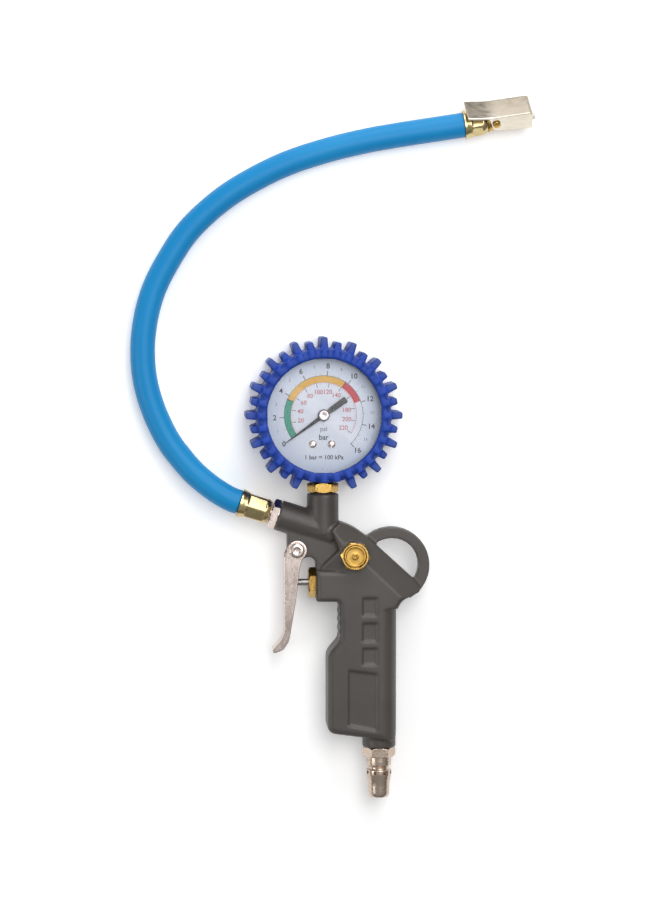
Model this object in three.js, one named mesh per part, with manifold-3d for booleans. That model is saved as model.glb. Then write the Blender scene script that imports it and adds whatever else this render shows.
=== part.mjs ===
// Tyre inflator with a dial gauge, lying on its side as it rests on a bench: a die-cast pistol body with a
// trigger valve and a bleed valve, a dial pressure gauge in a rubber boot, a quick-connect inlet plug, and a
// short air hose with a clip-on tyre chuck.
//
// Units are millimetres, +Z up. Everything is laid out in the gun's own frame: X=0 is the gauge's axis and
// Y=0 its centre, Z=0 the gun's level mid-plane, +X towards the handle's back, -Y down to the inlet plug.
// The finished group is moved so that its origin is under the middle of the gun, on the surface it lies on.
import * as THREE from "three";
import { ConvexGeometry } from "three/addons/geometries/ConvexGeometry.js";
import { mergeVertices } from "three/addons/utils/BufferGeometryUtils.js";
import Module from "manifold-3d";

const wasm = await Module();
wasm.setup();

// ---------------------------------------------------------------- driving dimensions
const SIDES = 16; // sides of an ordinary round piece
const RIM_SIDES = 32; // sides of the gauge's large rings
const RUN = 0.15; // radial clearance of a moving fit
const TOUCH = 0.1; // clearance between level faces that bear on each other
const GAP = 0.3; // clearance between faces inside a turned group

// Body casting
const HALF_THICK = 11; // half the thickness of the handle and valve block
const WEB_HALF = 5.5; // half the thickness of the web that carries the trigger
const RIDGE_HALF = 5; // half the thickness of the spine at its top edge
const GAUGE_BOSS = { radius: 7.6, top: -38.0 };
const HOSE_BOSS = { radius: 7.45, x: -21.4, y: -48.2, slope: 18 };
const BLOCK = { front: -3.5, top: -74.5, bottom: -89.3 };
const HANDLE = { frontUpper: 7.4, frontLower: 1.8, back: 35.2, heel: -152.8, backRound: 8 };
const INLET_BOSS = { radius: 8.05, x: 27.2, reach: 7.8 };
const RING = { x: 33, y: -72.4, outer: 18.3, inner: 13, half: 4 };
const RECESS_DEPTH = 0.8;
const GRIP_WAVES = { top: -93.2, count: 4, pitch: 4.1, radius: 2.6, depth: 0.45 };

// Air passages
const THREAD_BORE = 5.2; // radius of the gauge, hose and inlet threads' bores
const CHAMBER = { y: -80.8, radius: 5.3, end: 31 };
const RISER = { x: 6.5, radius: 2.2 }; // passage from the valve chamber up to the hose and gauge

// Trigger
const PIVOT = { x: -12.7, y: -64.9 };
const TRIGGER = { head: 4.8, web: -18.7, sheet: 1.2, cheek: 5.9, webTop: -68.4, webBottom: -106.4 };
const RIVET = { radius: 1.5, head: 3.6, headHeight: 0.9 };

// Main valve
const GLAND = { corners: 7.3, hexEnd: -7.0, shankEnd: 4.0 };
const STEM_RADIUS = 1.7;
const SEAT = { start: 9.5, end: 12.5, bore: 2.6 };
const POPPET = { radius: 4.2, thick: 1.8 };
const VALVE_SPRING = { coil: 3.6, wire: 0.45, turns: 6 };

// Bleed valve
const BLEED = { x: 14.7, y: -67.1, boss: 7.0, bore: 4.5, hex: 7.3, turn: 23, button: 5.2, stem: 1.6 };
const BLEED_RISE = 4.4; // how far the housing stands out of the block
const BLEED_DEPTH = 8.4; // how far it goes in

// Gauge: heights are above the gun's mid-plane, which is also the stem's axis
const CASE = { radius: 29.4, wall: 0.8, back: -9.5, front: 12.2 };
const BEZEL = { wall: 0.7, lip: 2.2, skirt: 7, front: 15.2 };
const WINDOW_RADIUS = CASE.radius - BEZEL.lip;
const GASKET_THICK = 0.6;
const LENS_THICK = 1.4;
const DIAL = { back: 7.4, thick: 0.5 };
const DIAL_SCREWS = { left: -5.2, right: 3.8, y: -13.8, head: 1.8, shank: 1.0 };
const SOCKET = { shank: 5.0, collar: 6.5, collarHigh: 4.8, thread: 10, half: 5.5, blockTop: -12 };
const CASE_SCREW = { x: 3.4, y: -19.5 };
const TUBE = { radius: 21, width: 3.0, height: 6.4, wall: 0.5, level: -2.3, start: 252.5, end: -18 };
const TUBE_START_Y = TUBE.radius * Math.sin((TUBE.start * Math.PI) / 180);
const PLATE = { back: 1.1, front: 5.3, thick: 0.8 };
const PLATE_SCREW = { x: 3.2, y: -24.5 };
const POINTER = { tip: 22.7, tail: 13.2, hub: 2.8, level: 9.0, thick: 0.6 };

// Gauge movement: the sector drives the pinion, eight teeth to forty-eight
const PINION_TEETH = 8;
const SECTOR_TEETH = 48; // on the full circle
const GEAR_CENTRES = 14.1;
const GEAR_LEVEL = 3.0;
const GEAR_THICK = 0.9;
const ARBOR = 0.7;
const SECTOR_TAIL = { length: 4, angle: -45 };

// Rubber boot
const BOOT = { wall: 1.7, back: -11, front: 17, shoulder: 3.5, backLip: 5.4 };
const LUG = { big: 5.4, small: 3.5, base: 2.1, tip: 1.45, count: 32 };

// Inlet plug, as radius and distance down from the boss
const PLUG_BORE = 2.5;
const PLUG_HEX = 6.9;

// Hose and its fittings
const HOSE = { radius: 5.95, bore: 3.0, crimped: 4.75, steps: 28 };
const BARB = 2.3;
const FERRULE = { length: 15.2, mouth: 6.85, neck: 5.55, bore: 5.05 };
const NUT = { corners: 7.2, thick: 3.4 };
const HOSE_START = 20; // from the hose boss's face to the ferrule's mouth
const HOSE_ROUTE = [
  [-40.4, -41.9, 0],
  [-44.2, -40.5, -0.1],
  [-51.8, -36.0, -1.0],
  [-61.2, -28.4, -2.8],
  [-68.6, -20.0, -4.2],
  [-73.9, -12.7, -4.9],
  [-80.8, 1.7, -5],
  [-84.9, 16.1, -5],
  [-86.1, 30.5, -5],
  [-84.7, 44.9, -5],
  [-80.8, 59.3, -5],
  [-73.6, 73.7, -5],
  [-63.8, 88.1, -5],
  [-48.2, 102.5, -5],
  [-34.0, 111.6, -5],
  [-17.2, 119.8, -5],
  [2, 126.2, -5],
  [21.2, 130.9, -5],
  [40.4, 134.3, -4.8],
  [54, 136.4, -4.4],
  [67.7, 138.5, -4.1],
];

// Chuck, along its own axis from the hose's end
const CHUCK = { heading: 8.5, roll: 40, ferrule: 11.4, end: 31.5, radius: 4.7, mouth: 3.95, mouthStart: 24 };
const CHUCK_PIN = { x: 15.2, z: 3.6, radius: 1.1, head: 1.9 };
const SADDLE = 2.2; // half the width of the block that the pin passes through
const LEVER = { half: 5.85, sheet: 0.9, top: 8, front: 32.7, rear: 1.4, rise: 2, skirt: -3 };
const NUB = { radius: 2.2, end: 34.8, air: 0.9 };

// ---------------------------------------------------------------- finishes
const finish = (color, roughness, metalness) => ({ color, roughness, metalness });
const PAINTED_CASTING = finish(0x4e4944, 0.55, 0.2);
const NICKEL = finish(0xd9d4cf, 0.25, 1);
const BRASS = finish(0xc39a45, 0.3, 1);
const YELLOW_ZINC = finish(0xc8b476, 0.35, 1);
const STEEL = finish(0x9c9a96, 0.4, 1);
const BLACK_RUBBER = finish(0x1c1c1c, 0.8, 0);
const BLUE_RUBBER = finish(0x1f4fae, 0.6, 0);
const HOSE_BLUE = finish(0x2487c8, 0.45, 0);
const DIAL_WHITE = finish(0xe2e6f2, 0.5, 0);
const BLACK_PAINT = finish(0x151515, 0.5, 0);
const CLEAR = finish(0xf4f8ff, 0.05, 0);
const PALE_NYLON = finish(0xeceae4, 0.5, 0);

// ---------------------------------------------------------------- shape helpers
const vec = (x, y, z = 0) => new THREE.Vector3(x, y, z);
const rad = THREE.MathUtils.degToRad;
const polar = (radius, degrees) => [radius * Math.cos(rad(degrees)), radius * Math.sin(rad(degrees))];
const X = vec(1, 0, 0);
const Y = vec(0, 1, 0);
const Z = vec(0, 0, 1);

// A closed geometry as a solid: shared corners merged, empty triangles dropped, faces turned outwards.
function solidOf(geometry) {
  const bare = new THREE.BufferGeometry();
  bare.setAttribute("position", geometry.getAttribute("position").clone());
  if (geometry.index) bare.setIndex(geometry.index.clone());
  const merged = mergeVertices(bare, 1e-4);
  const corners = [];
  const index = merged.index.array;
  for (let i = 0; i < index.length; i += 3) {
    const [a, b, c] = [index[i], index[i + 1], index[i + 2]];
    if (a !== b && b !== c && c !== a) corners.push(a, b, c);
  }
  const made = (order) =>
    new wasm.Manifold(
      new wasm.Mesh({
        numProp: 3,
        vertProperties: merged.attributes.position.array,
        triVerts: new Uint32Array(order),
      }),
    );
  const solid = made(corners);
  return solid.volume() > 0 ? solid : made(corners.reverse());
}

function geometryOf(solid) {
  const mesh = solid.getMesh();
  const geometry = new THREE.BufferGeometry();
  geometry.setAttribute("position", new THREE.BufferAttribute(mesh.vertProperties, 3));
  geometry.setIndex(new THREE.BufferAttribute(mesh.triVerts, 1));
  return geometry;
}

const join = (first, ...others) => others.reduce((whole, part) => whole.add(part), first);
const cut = (whole, ...tools) => tools.reduce((left, tool) => left.subtract(tool), whole);

function along(geometry, from, direction) {
  geometry.applyQuaternion(new THREE.Quaternion().setFromUnitVectors(Y, direction.clone().normalize()));
  return geometry.translate(from.x, from.y, from.z);
}

// A round or prismatic rod from one point to another; with few sides it is a hexagon or the like.
function rod(radius, from, to, sides = SIDES, endRadius = radius) {
  const axis = to.clone().sub(from);
  const geometry = new THREE.CylinderGeometry(endRadius, radius, axis.length(), sides);
  return solidOf(along(geometry.translate(0, axis.length() / 2, 0), from, axis));
}

// A hole's tool: its flats, not its corners, are at the radius, so a round piece of that radius passes.
const hole = (radius, from, to, sides = SIDES) => rod(radius / Math.cos(Math.PI / sides), from, to, sides);

// A turned piece: pairs of radius and distance along the axis, closed on the axis or on themselves.
function turned(profile, from, direction, sides = SIDES) {
  const points = profile.map(([r, s]) => new THREE.Vector2(r, s));
  if (profile[0][0] > 0) points.push(points[0].clone());
  return solidOf(along(new THREE.LatheGeometry(points, sides), from, direction));
}

// A plain ring; the flats of its bore are at the inner radius.
function washer(inner, outer, from, direction, thick, sides = SIDES) {
  const bore = inner / Math.cos(Math.PI / sides);
  return turned([[bore, 0], [outer, 0], [outer, thick], [bore, thick]], from, direction, sides);
}

function block(x0, x1, y0, y1, z0, z1) {
  const geometry = new THREE.BoxGeometry(x1 - x0, y1 - y0, z1 - z0);
  return solidOf(geometry.translate((x0 + x1) / 2, (y0 + y1) / 2, (z0 + z1) / 2));
}

const hull = (...corners) => solidOf(new ConvexGeometry(corners.map(([x, y, z]) => vec(x, y, z))));

// An outline from corners [x, y] or [x, y, fillet], the fillet being the length taken off each side.
function outline(corners) {
  const shape = new THREE.Shape();
  corners.forEach(([x, y, fillet = 0], i) => {
    const here = new THREE.Vector2(x, y);
    const [before, after] = [corners.at(i - 1), corners[(i + 1) % corners.length]].map(([px, py]) =>
      new THREE.Vector2(px, py).sub(here).setLength(fillet).add(here),
    );
    if (i === 0) shape.moveTo(before.x, before.y);
    else shape.lineTo(before.x, before.y);
    if (fillet) shape.quadraticCurveTo(x, y, after.x, after.y);
  });
  shape.closePath();
  return shape;
}

// A flat piece between two heights.
function plate(shape, z0, z1, curveSegments = 2) {
  const geometry = new THREE.ExtrudeGeometry(shape, { depth: z1 - z0, bevelEnabled: false, curveSegments });
  return solidOf(geometry.translate(0, 0, z0));
}

// The same with its edges bevelled inwards.
function pad(shape, half, bevel, bevelSegments, curveSegments = 4) {
  const geometry = new THREE.ExtrudeGeometry(shape, {
    depth: 2 * (half - bevel),
    bevelSize: bevel,
    bevelThickness: bevel,
    bevelOffset: -bevel,
    bevelSegments,
    curveSegments,
  });
  return solidOf(geometry.translate(0, 0, bevel - half));
}

// A bar of constant section along a path.
const sweep = (section, path, steps) =>
  solidOf(new THREE.ExtrudeGeometry(section, { extrudePath: path, steps, curveSegments: 1 }));

function polygon(radius, sides) {
  const turn = 360 / sides;
  return outline(Array.from({ length: sides }, (_, i) => polar(radius, i * turn)));
}

// A helix about an axis, as the path of a coil spring.
class Helix extends THREE.Curve {
  constructor(from, axis, radius, length, turns) {
    super();
    const basis = new THREE.Quaternion().setFromUnitVectors(Y, axis);
    this.pointAt = (t) => {
      const angle = 2 * Math.PI * turns * t;
      const local = vec(radius * Math.cos(angle), length * t, radius * Math.sin(angle));
      return local.applyQuaternion(basis).add(from);
    };
  }
  getPoint(t, target = new THREE.Vector3()) {
    return target.copy(this.pointAt(t));
  }
}

const spring = ({ coil, wire, turns }, from, axis, length) =>
  sweep(polygon(wire, 4), new Helix(from, axis, coil, length, turns), Math.round(turns * 9));

const gun = new THREE.Group();
const ownPieces = [];
function piece(name, solid, look, group = gun) {
  const mesh = new THREE.Mesh(geometryOf(solid), new THREE.MeshStandardMaterial(look));
  mesh.name = name;
  group.add(mesh);
  if (group === gun || group === gauge) ownPieces.push(mesh);
}

// The gauge stands on its boss, its centre as high over it as its boot and its collar need.
const bezelRadius = CASE.radius + TOUCH + BEZEL.wall;
const bootRadius = bezelRadius + TOUCH + BOOT.wall;
const collarTop = -bootRadius - 0.6;
const collarBottom = collarTop - SOCKET.collarHigh;
const gauge = new THREE.Group();
gauge.position.y = GAUGE_BOSS.top + 0.6 - collarBottom;
gun.add(gauge);

// ---------------------------------------------------------------- body casting
// The spine falls away on both sides from this line on the block's face to the ridge along its top.
const SPINE_LINE = { x: 3.6, y: -55.3, angle: -43.6, width: 10 };

function spineSlope(side) {
  const size = 120;
  const fall = Math.atan2(HALF_THICK - RIDGE_HALF, SPINE_LINE.width);
  const alongLine = vec(...polar(1, SPINE_LINE.angle), 0);
  const outwards = vec(...polar(1, SPINE_LINE.angle + 90), 0);
  const normal = Z.clone()
    .multiplyScalar(side * Math.cos(fall))
    .addScaledVector(outwards, Math.sin(fall));
  const third = normal.clone().cross(alongLine);
  const centre = vec(SPINE_LINE.x, SPINE_LINE.y, side * HALF_THICK).addScaledVector(normal, size / 2);
  const geometry = new THREE.BoxGeometry(size, size, size);
  geometry.applyMatrix4(new THREE.Matrix4().makeBasis(alongLine, third, normal).setPosition(centre));
  return solidOf(geometry);
}

function spineAndBlock() {
  const side = outline([
    [BLOCK.front, BLOCK.top],
    [BLOCK.front, BLOCK.bottom],
    [HANDLE.frontUpper, BLOCK.bottom, 2.2],
    [HANDLE.frontUpper, -100],
    [HANDLE.back, -100],
    [HANDLE.back, -92.4, 3],
    [38.4, -88.4, 2],
    [47.3, -84.9, 2.2],
    [44.1, -79.5, 2.2],
    [20.5, -57.9, 3],
    [14.2, -53.6, 3],
    [7.9, -51.3],
    [SPINE_LINE.x, SPINE_LINE.y],
    [7.3, -64.8],
    [9, BLOCK.top],
  ]);
  return cut(pad(side, HALF_THICK, 1.4, 1, 4), spineSlope(1), spineSlope(-1));
}

function handle() {
  const side = outline([
    [HANDLE.frontUpper, -86],
    [HANDLE.frontUpper, -108.2, 1.5],
    [HANDLE.frontLower, -114.6, 3],
    [HANDLE.frontLower, HANDLE.heel, 4],
    [HANDLE.back, HANDLE.heel - 4.4, 4],
    [HANDLE.back, -86],
  ]);
  const solid = pad(side, HALF_THICK, 2.4, 2, 4);
  const round = HANDLE.backRound;
  const cornerTop = -93;
  const corner = (s) => {
    const section = new THREE.Shape();
    section.moveTo(HANDLE.back + 1, s * (HALF_THICK + 1));
    section.lineTo(HANDLE.back + 1, s * (HALF_THICK - round));
    section.lineTo(HANDLE.back, s * (HALF_THICK - round));
    const centre = [HANDLE.back - round, s * (HALF_THICK - round)];
    section.absarc(...centre, round, 0, (s * Math.PI) / 2, s < 0);
    section.lineTo(HANDLE.back - round, s * (HALF_THICK + 1));
    const depth = cornerTop - HANDLE.heel + 20;
    const geometry = new THREE.ExtrudeGeometry(section, { depth, bevelEnabled: false, curveSegments: 6 });
    return solidOf(geometry.rotateX(Math.PI / 2).translate(0, cornerTop, 0));
  };
  return [solid, corner(1), corner(-1)];
}

function triggerWeb() {
  const lugRadius = TRIGGER.head - 0.2;
  const lug = rod(lugRadius, pivotPoint(-WEB_HALF), pivotPoint(WEB_HALF));
  const web = outline([
    [PIVOT.x - lugRadius, -55],
    [PIVOT.x - lugRadius, PIVOT.y],
    [PIVOT.x, PIVOT.y - lugRadius],
    [-6.2, -67.9, 1],
    [BLOCK.front, -70.2, 1],
    [BLOCK.front, -80],
    [12, -80],
    [12, -56],
    [0, -52],
  ]);
  return join(plate(web, -WEB_HALF, WEB_HALF), lug);
}

// The facet that rises from the web to the face of the valve block.
function blockRamp() {
  const face = (z) => [[7.3, -64.8, z], [12, BLOCK.top - 1, z], [14, -66, z]];
  const foot = (z) => [[-0.8, -72.2, z], [-2.6, BLOCK.top - 0.6, z]];
  return hull(...face(HALF_THICK), ...face(-HALF_THICK), ...foot(WEB_HALF), ...foot(-WEB_HALF));
}

function hangingRing() {
  const ring = new THREE.Shape();
  const [from, to] = [-62, 152].map(rad);
  ring.absarc(RING.x, RING.y, RING.outer, from, to, false);
  ring.absarc(RING.x, RING.y, RING.inner, to, from, true);
  return plate(ring, -RING.half, RING.half, 9);
}

const pivotPoint = (z) => vec(PIVOT.x, PIVOT.y, z);
const bleedPoint = (z) => vec(BLEED.x, BLEED.y, z);
const bleedTop = HALF_THICK + BLEED_RISE;
const bleedShankEnd = HALF_THICK - BLEED_DEPTH;
const inletPoint = (below) => vec(INLET_BOSS.x, HANDLE.heel - INLET_BOSS.reach - below, 0);
const hoseAxis = vec(-Math.cos(rad(HOSE_BOSS.slope)), Math.sin(rad(HOSE_BOSS.slope)), 0);
const hosePoint = (distance) => vec(HOSE_BOSS.x, HOSE_BOSS.y, 0).addScaledVector(hoseAxis, distance);

function recesses() {
  const side = (z0, z1) => {
    const squares = [[-87.3, -96.1], [-99.4, -108.6], [-111.5, -119.9]].map(([top, bottom]) =>
      block(18.3, 25.6, bottom, top, z0, z1),
    );
    const panel = outline([
      [11.6, -122.1],
      [11.6, HANDLE.heel + 3.8],
      [25.6, HANDLE.heel + 1],
      [25.6, -123.8],
    ]);
    return join(plate(panel, z0, z1), ...squares);
  };
  const [inner, outer] = [HALF_THICK - RECESS_DEPTH, HALF_THICK + 1];
  return join(side(inner, outer), side(-outer, -inner));
}

function gripWaves() {
  const x = HANDLE.frontUpper - GRIP_WAVES.radius + GRIP_WAVES.depth;
  const groove = (i) => {
    const y = GRIP_WAVES.top - i * GRIP_WAVES.pitch;
    return rod(GRIP_WAVES.radius, vec(x, y, -HALF_THICK - 1), vec(x, y, HALF_THICK + 1), 20);
  };
  return join(...Array.from({ length: GRIP_WAVES.count }, (_, i) => groove(i)));
}

function passages() {
  const gaugeFloor = -48.5;
  const riserTop = HOSE_BOSS.y - (RISER.x - HOSE_BOSS.x) * Math.tan(rad(HOSE_BOSS.slope));
  return join(
    hole(THREAD_BORE, vec(0, GAUGE_BOSS.top + 1, 0), vec(0, gaugeFloor, 0)),
    hole(2, vec(0, gaugeFloor + 1, 0), vec(0, riserTop + 2, 0), 12),
    hole(THREAD_BORE, hosePoint(1), hosePoint(-12.5)),
    hole(2, hosePoint(-12), hosePoint(-30), 12),
    hole(RISER.radius, vec(RISER.x, riserTop, 0), vec(RISER.x, CHAMBER.y, 0), 12),
    hole(CHAMBER.radius, vec(BLOCK.front - 1, CHAMBER.y, 0), vec(CHAMBER.end, CHAMBER.y, 0)),
    hole(4, vec(INLET_BOSS.x, CHAMBER.y, 0), inletPoint(-10.6), 16),
    hole(THREAD_BORE, inletPoint(-13.1), inletPoint(1)),
    hole(6.5, inletPoint(-1.2), inletPoint(1)),
    hole(BLEED.bore, bleedPoint(bleedShankEnd - 4.2), bleedPoint(HALF_THICK + 1)),
    hole(1.2, bleedPoint(bleedShankEnd - 2.8), vec(RISER.x, BLEED.y, bleedShankEnd - 2.8), 10),
    hole(RIVET.radius, pivotPoint(-WEB_HALF - 1), pivotPoint(WEB_HALF + 1), 20),
  );
}

function bodyCasting() {
  const [grip, backUpper, backLower] = handle();
  const inletBoss = rod(INLET_BOSS.radius, inletPoint(-20.6), inletPoint(0));
  const gaugeBoss = rod(GAUGE_BOSS.radius, vec(0, -57, 0), vec(0, GAUGE_BOSS.top, 0));
  const barrel = rod(HOSE_BOSS.radius, hosePoint(-28), hosePoint(0));
  const bleedBoss = rod(BLEED.boss, bleedPoint(0), bleedPoint(HALF_THICK));
  const outside = cut(join(spineAndBlock(), grip), backUpper, backLower);
  const bosses = [inletBoss, gaugeBoss, barrel, bleedBoss];
  const whole = join(outside, ...bosses, triggerWeb(), blockRamp(), hangingRing());
  return cut(whole, recesses(), gripWaves(), passages());
}
piece("body_casting", bodyCasting(), PAINTED_CASTING);

// ---------------------------------------------------------------- trigger and its pivot
function trigger() {
  const { web, sheet, cheek, head, webTop, webBottom } = TRIGGER;
  const side = outline([
    [web, webTop, 1],
    [web, webBottom, 4],
    [-24.6, -112.9, 0.6],
    [-23.8, -114.3, 0.6],
    [-19.4, -112.9, 2],
    [-16.4, -108.2, 2],
    [-13, -87.6, 3],
    [-11.2, -71.8, 3],
    [PIVOT.x + head, PIVOT.y],
    [PIVOT.x - head, PIVOT.y],
  ]);
  const outer = cheek + sheet;
  const heads = rod(head, pivotPoint(-outer), pivotPoint(outer));
  const inside = outline([
    [web + sheet, webTop - 60],
    [web + sheet, webTop],
    [web - 3, webTop],
    [web - 3, webTop + 12],
    [0, webTop + 12],
    [0, webTop - 60],
  ]);
  const toeFill = outline([
    [web + sheet, webBottom - 1.5, 2.5],
    [-23.4, -113.1],
    [-21, -130],
    [web + sheet, -130],
  ]);
  const pivotHole = hole(RIVET.radius + RUN, pivotPoint(-outer - 1), pivotPoint(outer + 1), 20);
  return cut(
    join(plate(side, -outer, outer), heads),
    plate(inside, -cheek, cheek),
    plate(toeFill, -cheek, cheek),
    pivotHole,
  );
}
piece("trigger", trigger(), NICKEL);

function triggerRivet() {
  const face = TRIGGER.cheek + TRIGGER.sheet + TOUCH;
  const end = face + RIVET.headHeight;
  const shank = rod(RIVET.radius - 0.05, pivotPoint(-end), pivotPoint(end), 20);
  const profile = [
    [0, 0],
    [RIVET.head, 0],
    [RIVET.head, 0.5],
    [RIVET.head - 0.5, RIVET.headHeight],
    [0, RIVET.headHeight],
  ];
  const headOf = (side) => turned(profile, pivotPoint(side * face), vec(0, 0, side));
  return join(shank, headOf(1), headOf(-1));
}
piece("trigger_rivet", triggerRivet(), NICKEL);

// ---------------------------------------------------------------- main valve, along X in its chamber
const chamberPoint = (x) => vec(x, CHAMBER.y, 0);

function valveGland() {
  const foot = BLOCK.front - TOUCH;
  const hexGeometry = new THREE.CylinderGeometry(GLAND.corners, GLAND.corners, foot - GLAND.hexEnd, 6);
  hexGeometry.rotateY(Math.PI / 2).rotateZ(-Math.PI / 2);
  const hex = solidOf(hexGeometry.translate((GLAND.hexEnd + foot) / 2, CHAMBER.y, 0));
  const chamfer = turned(
    [[0, 0], [GLAND.corners - 0.7, 0], [GLAND.corners + 0.1, 0.8], [GLAND.corners + 0.1, 4], [0, 4]],
    chamberPoint(GLAND.hexEnd),
    X,
  );
  const shank = rod(THREAD_BORE - TOUCH, chamberPoint(GLAND.hexEnd + 1), chamberPoint(GLAND.shankEnd));
  const bore = hole(STEM_RADIUS + RUN, chamberPoint(GLAND.hexEnd - 1), chamberPoint(GLAND.shankEnd + 1), 16);
  const sealRoom = hole(3.4, chamberPoint(GLAND.shankEnd - 2.2), chamberPoint(GLAND.shankEnd + 1), 20);
  return cut(join(hex.intersect(chamfer), shank), bore, sealRoom);
}
piece("valve_gland", valveGland(), BRASS);

const stemSeal = washer(STEM_RADIUS + RUN, 3.25, chamberPoint(GLAND.shankEnd - 2), X, 1.8, 14);
piece("stem_seal", stemSeal, BLACK_RUBBER);
const seatLength = SEAT.end - SEAT.start;
const valveSeat = washer(SEAT.bore, CHAMBER.radius - TOUCH, chamberPoint(SEAT.start), X, seatLength, 14);
piece("valve_seat", valveSeat, BRASS);

const stemTip = TRIGGER.web + TRIGGER.sheet + 0.4;
const sealThick = 0.8;
const poppetFace = SEAT.end + TOUCH + sealThick + TOUCH;
function valveStem() {
  const poppetBack = poppetFace + POPPET.thick;
  const reach = (x) => x - stemTip;
  return turned(
    [
      [0, 0],
      [STEM_RADIUS * 0.6, 0.15],
      [STEM_RADIUS, 0.9],
      [STEM_RADIUS, reach(poppetFace)],
      [POPPET.radius, reach(poppetFace)],
      [POPPET.radius, reach(poppetBack)],
      [2.2, reach(poppetBack)],
      [2.2, reach(poppetBack) + 4],
      [0, reach(poppetBack) + 4],
    ],
    chamberPoint(stemTip),
    X,
    16,
  );
}
piece("valve_stem", valveStem(), STEEL);
piece(
  "poppet_seal",
  washer(STEM_RADIUS + TOUCH, POPPET.radius, chamberPoint(SEAT.end + TOUCH), X, sealThick, 14),
  BLACK_RUBBER,
);

const springStart = poppetFace + POPPET.thick + VALVE_SPRING.wire + TOUCH;
const springEnd = CHAMBER.end - VALVE_SPRING.wire - TOUCH;
piece("valve_spring", spring(VALVE_SPRING, chamberPoint(springStart), X, springEnd - springStart), STEEL);

// ---------------------------------------------------------------- bleed valve, pressed down from the side
const bleedPocket = HALF_THICK + 0.6;

function bleedHousing() {
  const foot = HALF_THICK + TOUCH;
  const hexGeometry = new THREE.CylinderGeometry(BLEED.hex, BLEED.hex, bleedTop - foot, 6);
  hexGeometry.rotateX(Math.PI / 2).rotateZ(rad(BLEED.turn));
  const hex = solidOf(hexGeometry.translate(BLEED.x, BLEED.y, (bleedTop + foot) / 2));
  const height = bleedTop - foot;
  const chamfer = turned(
    [
      [0, 0],
      [BLEED.hex + 0.1, 0],
      [BLEED.hex + 0.1, height - 0.7],
      [BLEED.hex - 0.8, height],
      [0, height],
    ],
    bleedPoint(foot),
    Z,
  );
  const shank = rod(BLEED.bore - TOUCH, bleedPoint(bleedShankEnd), bleedPoint(foot + 1));
  return cut(
    join(hex.intersect(chamfer), shank),
    hole(BLEED.button + RUN, bleedPoint(bleedPocket), bleedPoint(bleedTop + 1)),
    hole(BLEED.stem + RUN, bleedPoint(bleedShankEnd - 1), bleedPoint(bleedPocket + 1), 16),
  );
}
piece("bleed_housing", bleedHousing(), BRASS);

const bleedSealTop = bleedShankEnd - TOUCH;
const bleedFootTop = bleedSealTop - 0.8 - TOUCH;
const buttonTop = bleedTop - 0.5;
const buttonBack = buttonTop - 1.1;
function bleedButton() {
  const profile = [
    [0, bleedFootTop - 0.9],
    [3.4, bleedFootTop - 0.9],
    [3.4, bleedFootTop],
    [BLEED.stem, bleedFootTop],
    [BLEED.stem, buttonBack],
    [BLEED.button, buttonBack],
    [BLEED.button, buttonTop - 0.2],
    [BLEED.button - 0.2, buttonTop],
    [1.3, buttonTop],
    [0, buttonTop - 0.6],
  ];
  return turned(profile, bleedPoint(0), Z, 24);
}
piece("bleed_button", bleedButton(), BRASS);
piece(
  "bleed_seal",
  washer(BLEED.stem + TOUCH, 3.4, bleedPoint(bleedFootTop + TOUCH), Z, 0.8 - TOUCH, 14),
  BLACK_RUBBER,
);

const BLEED_SPRING = { coil: 3.4, wire: 0.3, turns: 2 };
const bleedSpringFoot = bleedPocket + BLEED_SPRING.wire + TOUCH;
const bleedSpringLength = buttonBack - BLEED_SPRING.wire - TOUCH - bleedSpringFoot;
piece("bleed_spring", spring(BLEED_SPRING, bleedPoint(bleedSpringFoot), Z, bleedSpringLength), STEEL);

// ---------------------------------------------------------------- gauge shell
function gaugeCase() {
  const { radius, wall, back, front } = CASE;
  const cup = turned(
    [
      [0, back],
      [radius, back],
      [radius, front],
      [radius - wall, front],
      [radius - wall, back + wall],
      [0, back + wall],
    ],
    vec(0, 0, 0),
    Z,
    RIM_SIDES,
  );
  const screwHole = (x) => hole(1.4, vec(x, CASE_SCREW.y, back - 1), vec(x, CASE_SCREW.y, back + 2), 12);
  return cut(
    cup,
    hole(SOCKET.shank + RUN, vec(0, -radius - 2, 0), vec(0, -radius + 3, 0)),
    screwHole(-CASE_SCREW.x),
    screwHole(CASE_SCREW.x),
  );
}
piece("gauge_case", gaugeCase(), BLACK_PAINT, gauge);

const skirtRadius = CASE.radius + TOUCH;
const lensBack = CASE.front + TOUCH + GASKET_THICK + TOUCH;
function bezel() {
  const lipBack = lensBack + LENS_THICK + TOUCH;
  return turned(
    [
      [skirtRadius, BEZEL.skirt],
      [bezelRadius, BEZEL.skirt],
      [bezelRadius, BEZEL.front - 0.3],
      [bezelRadius - 0.4, BEZEL.front],
      [WINDOW_RADIUS, BEZEL.front],
      [WINDOW_RADIUS, lipBack],
      [skirtRadius, lipBack],
    ],
    vec(0, 0, 0),
    Z,
    RIM_SIDES,
  );
}
piece("gauge_bezel", bezel(), BLACK_PAINT, gauge);
const innerFit = skirtRadius - 0.3;
const gasketBack = vec(0, 0, CASE.front + TOUCH);
const gasket = washer(WINDOW_RADIUS + 0.4, innerFit, gasketBack, Z, GASKET_THICK, RIM_SIDES);
piece("lens_gasket", gasket, BLACK_RUBBER, gauge);
const lens = rod(innerFit, vec(0, 0, lensBack), vec(0, 0, lensBack + LENS_THICK), RIM_SIDES);
piece("gauge_lens", lens, CLEAR, gauge);

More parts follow.
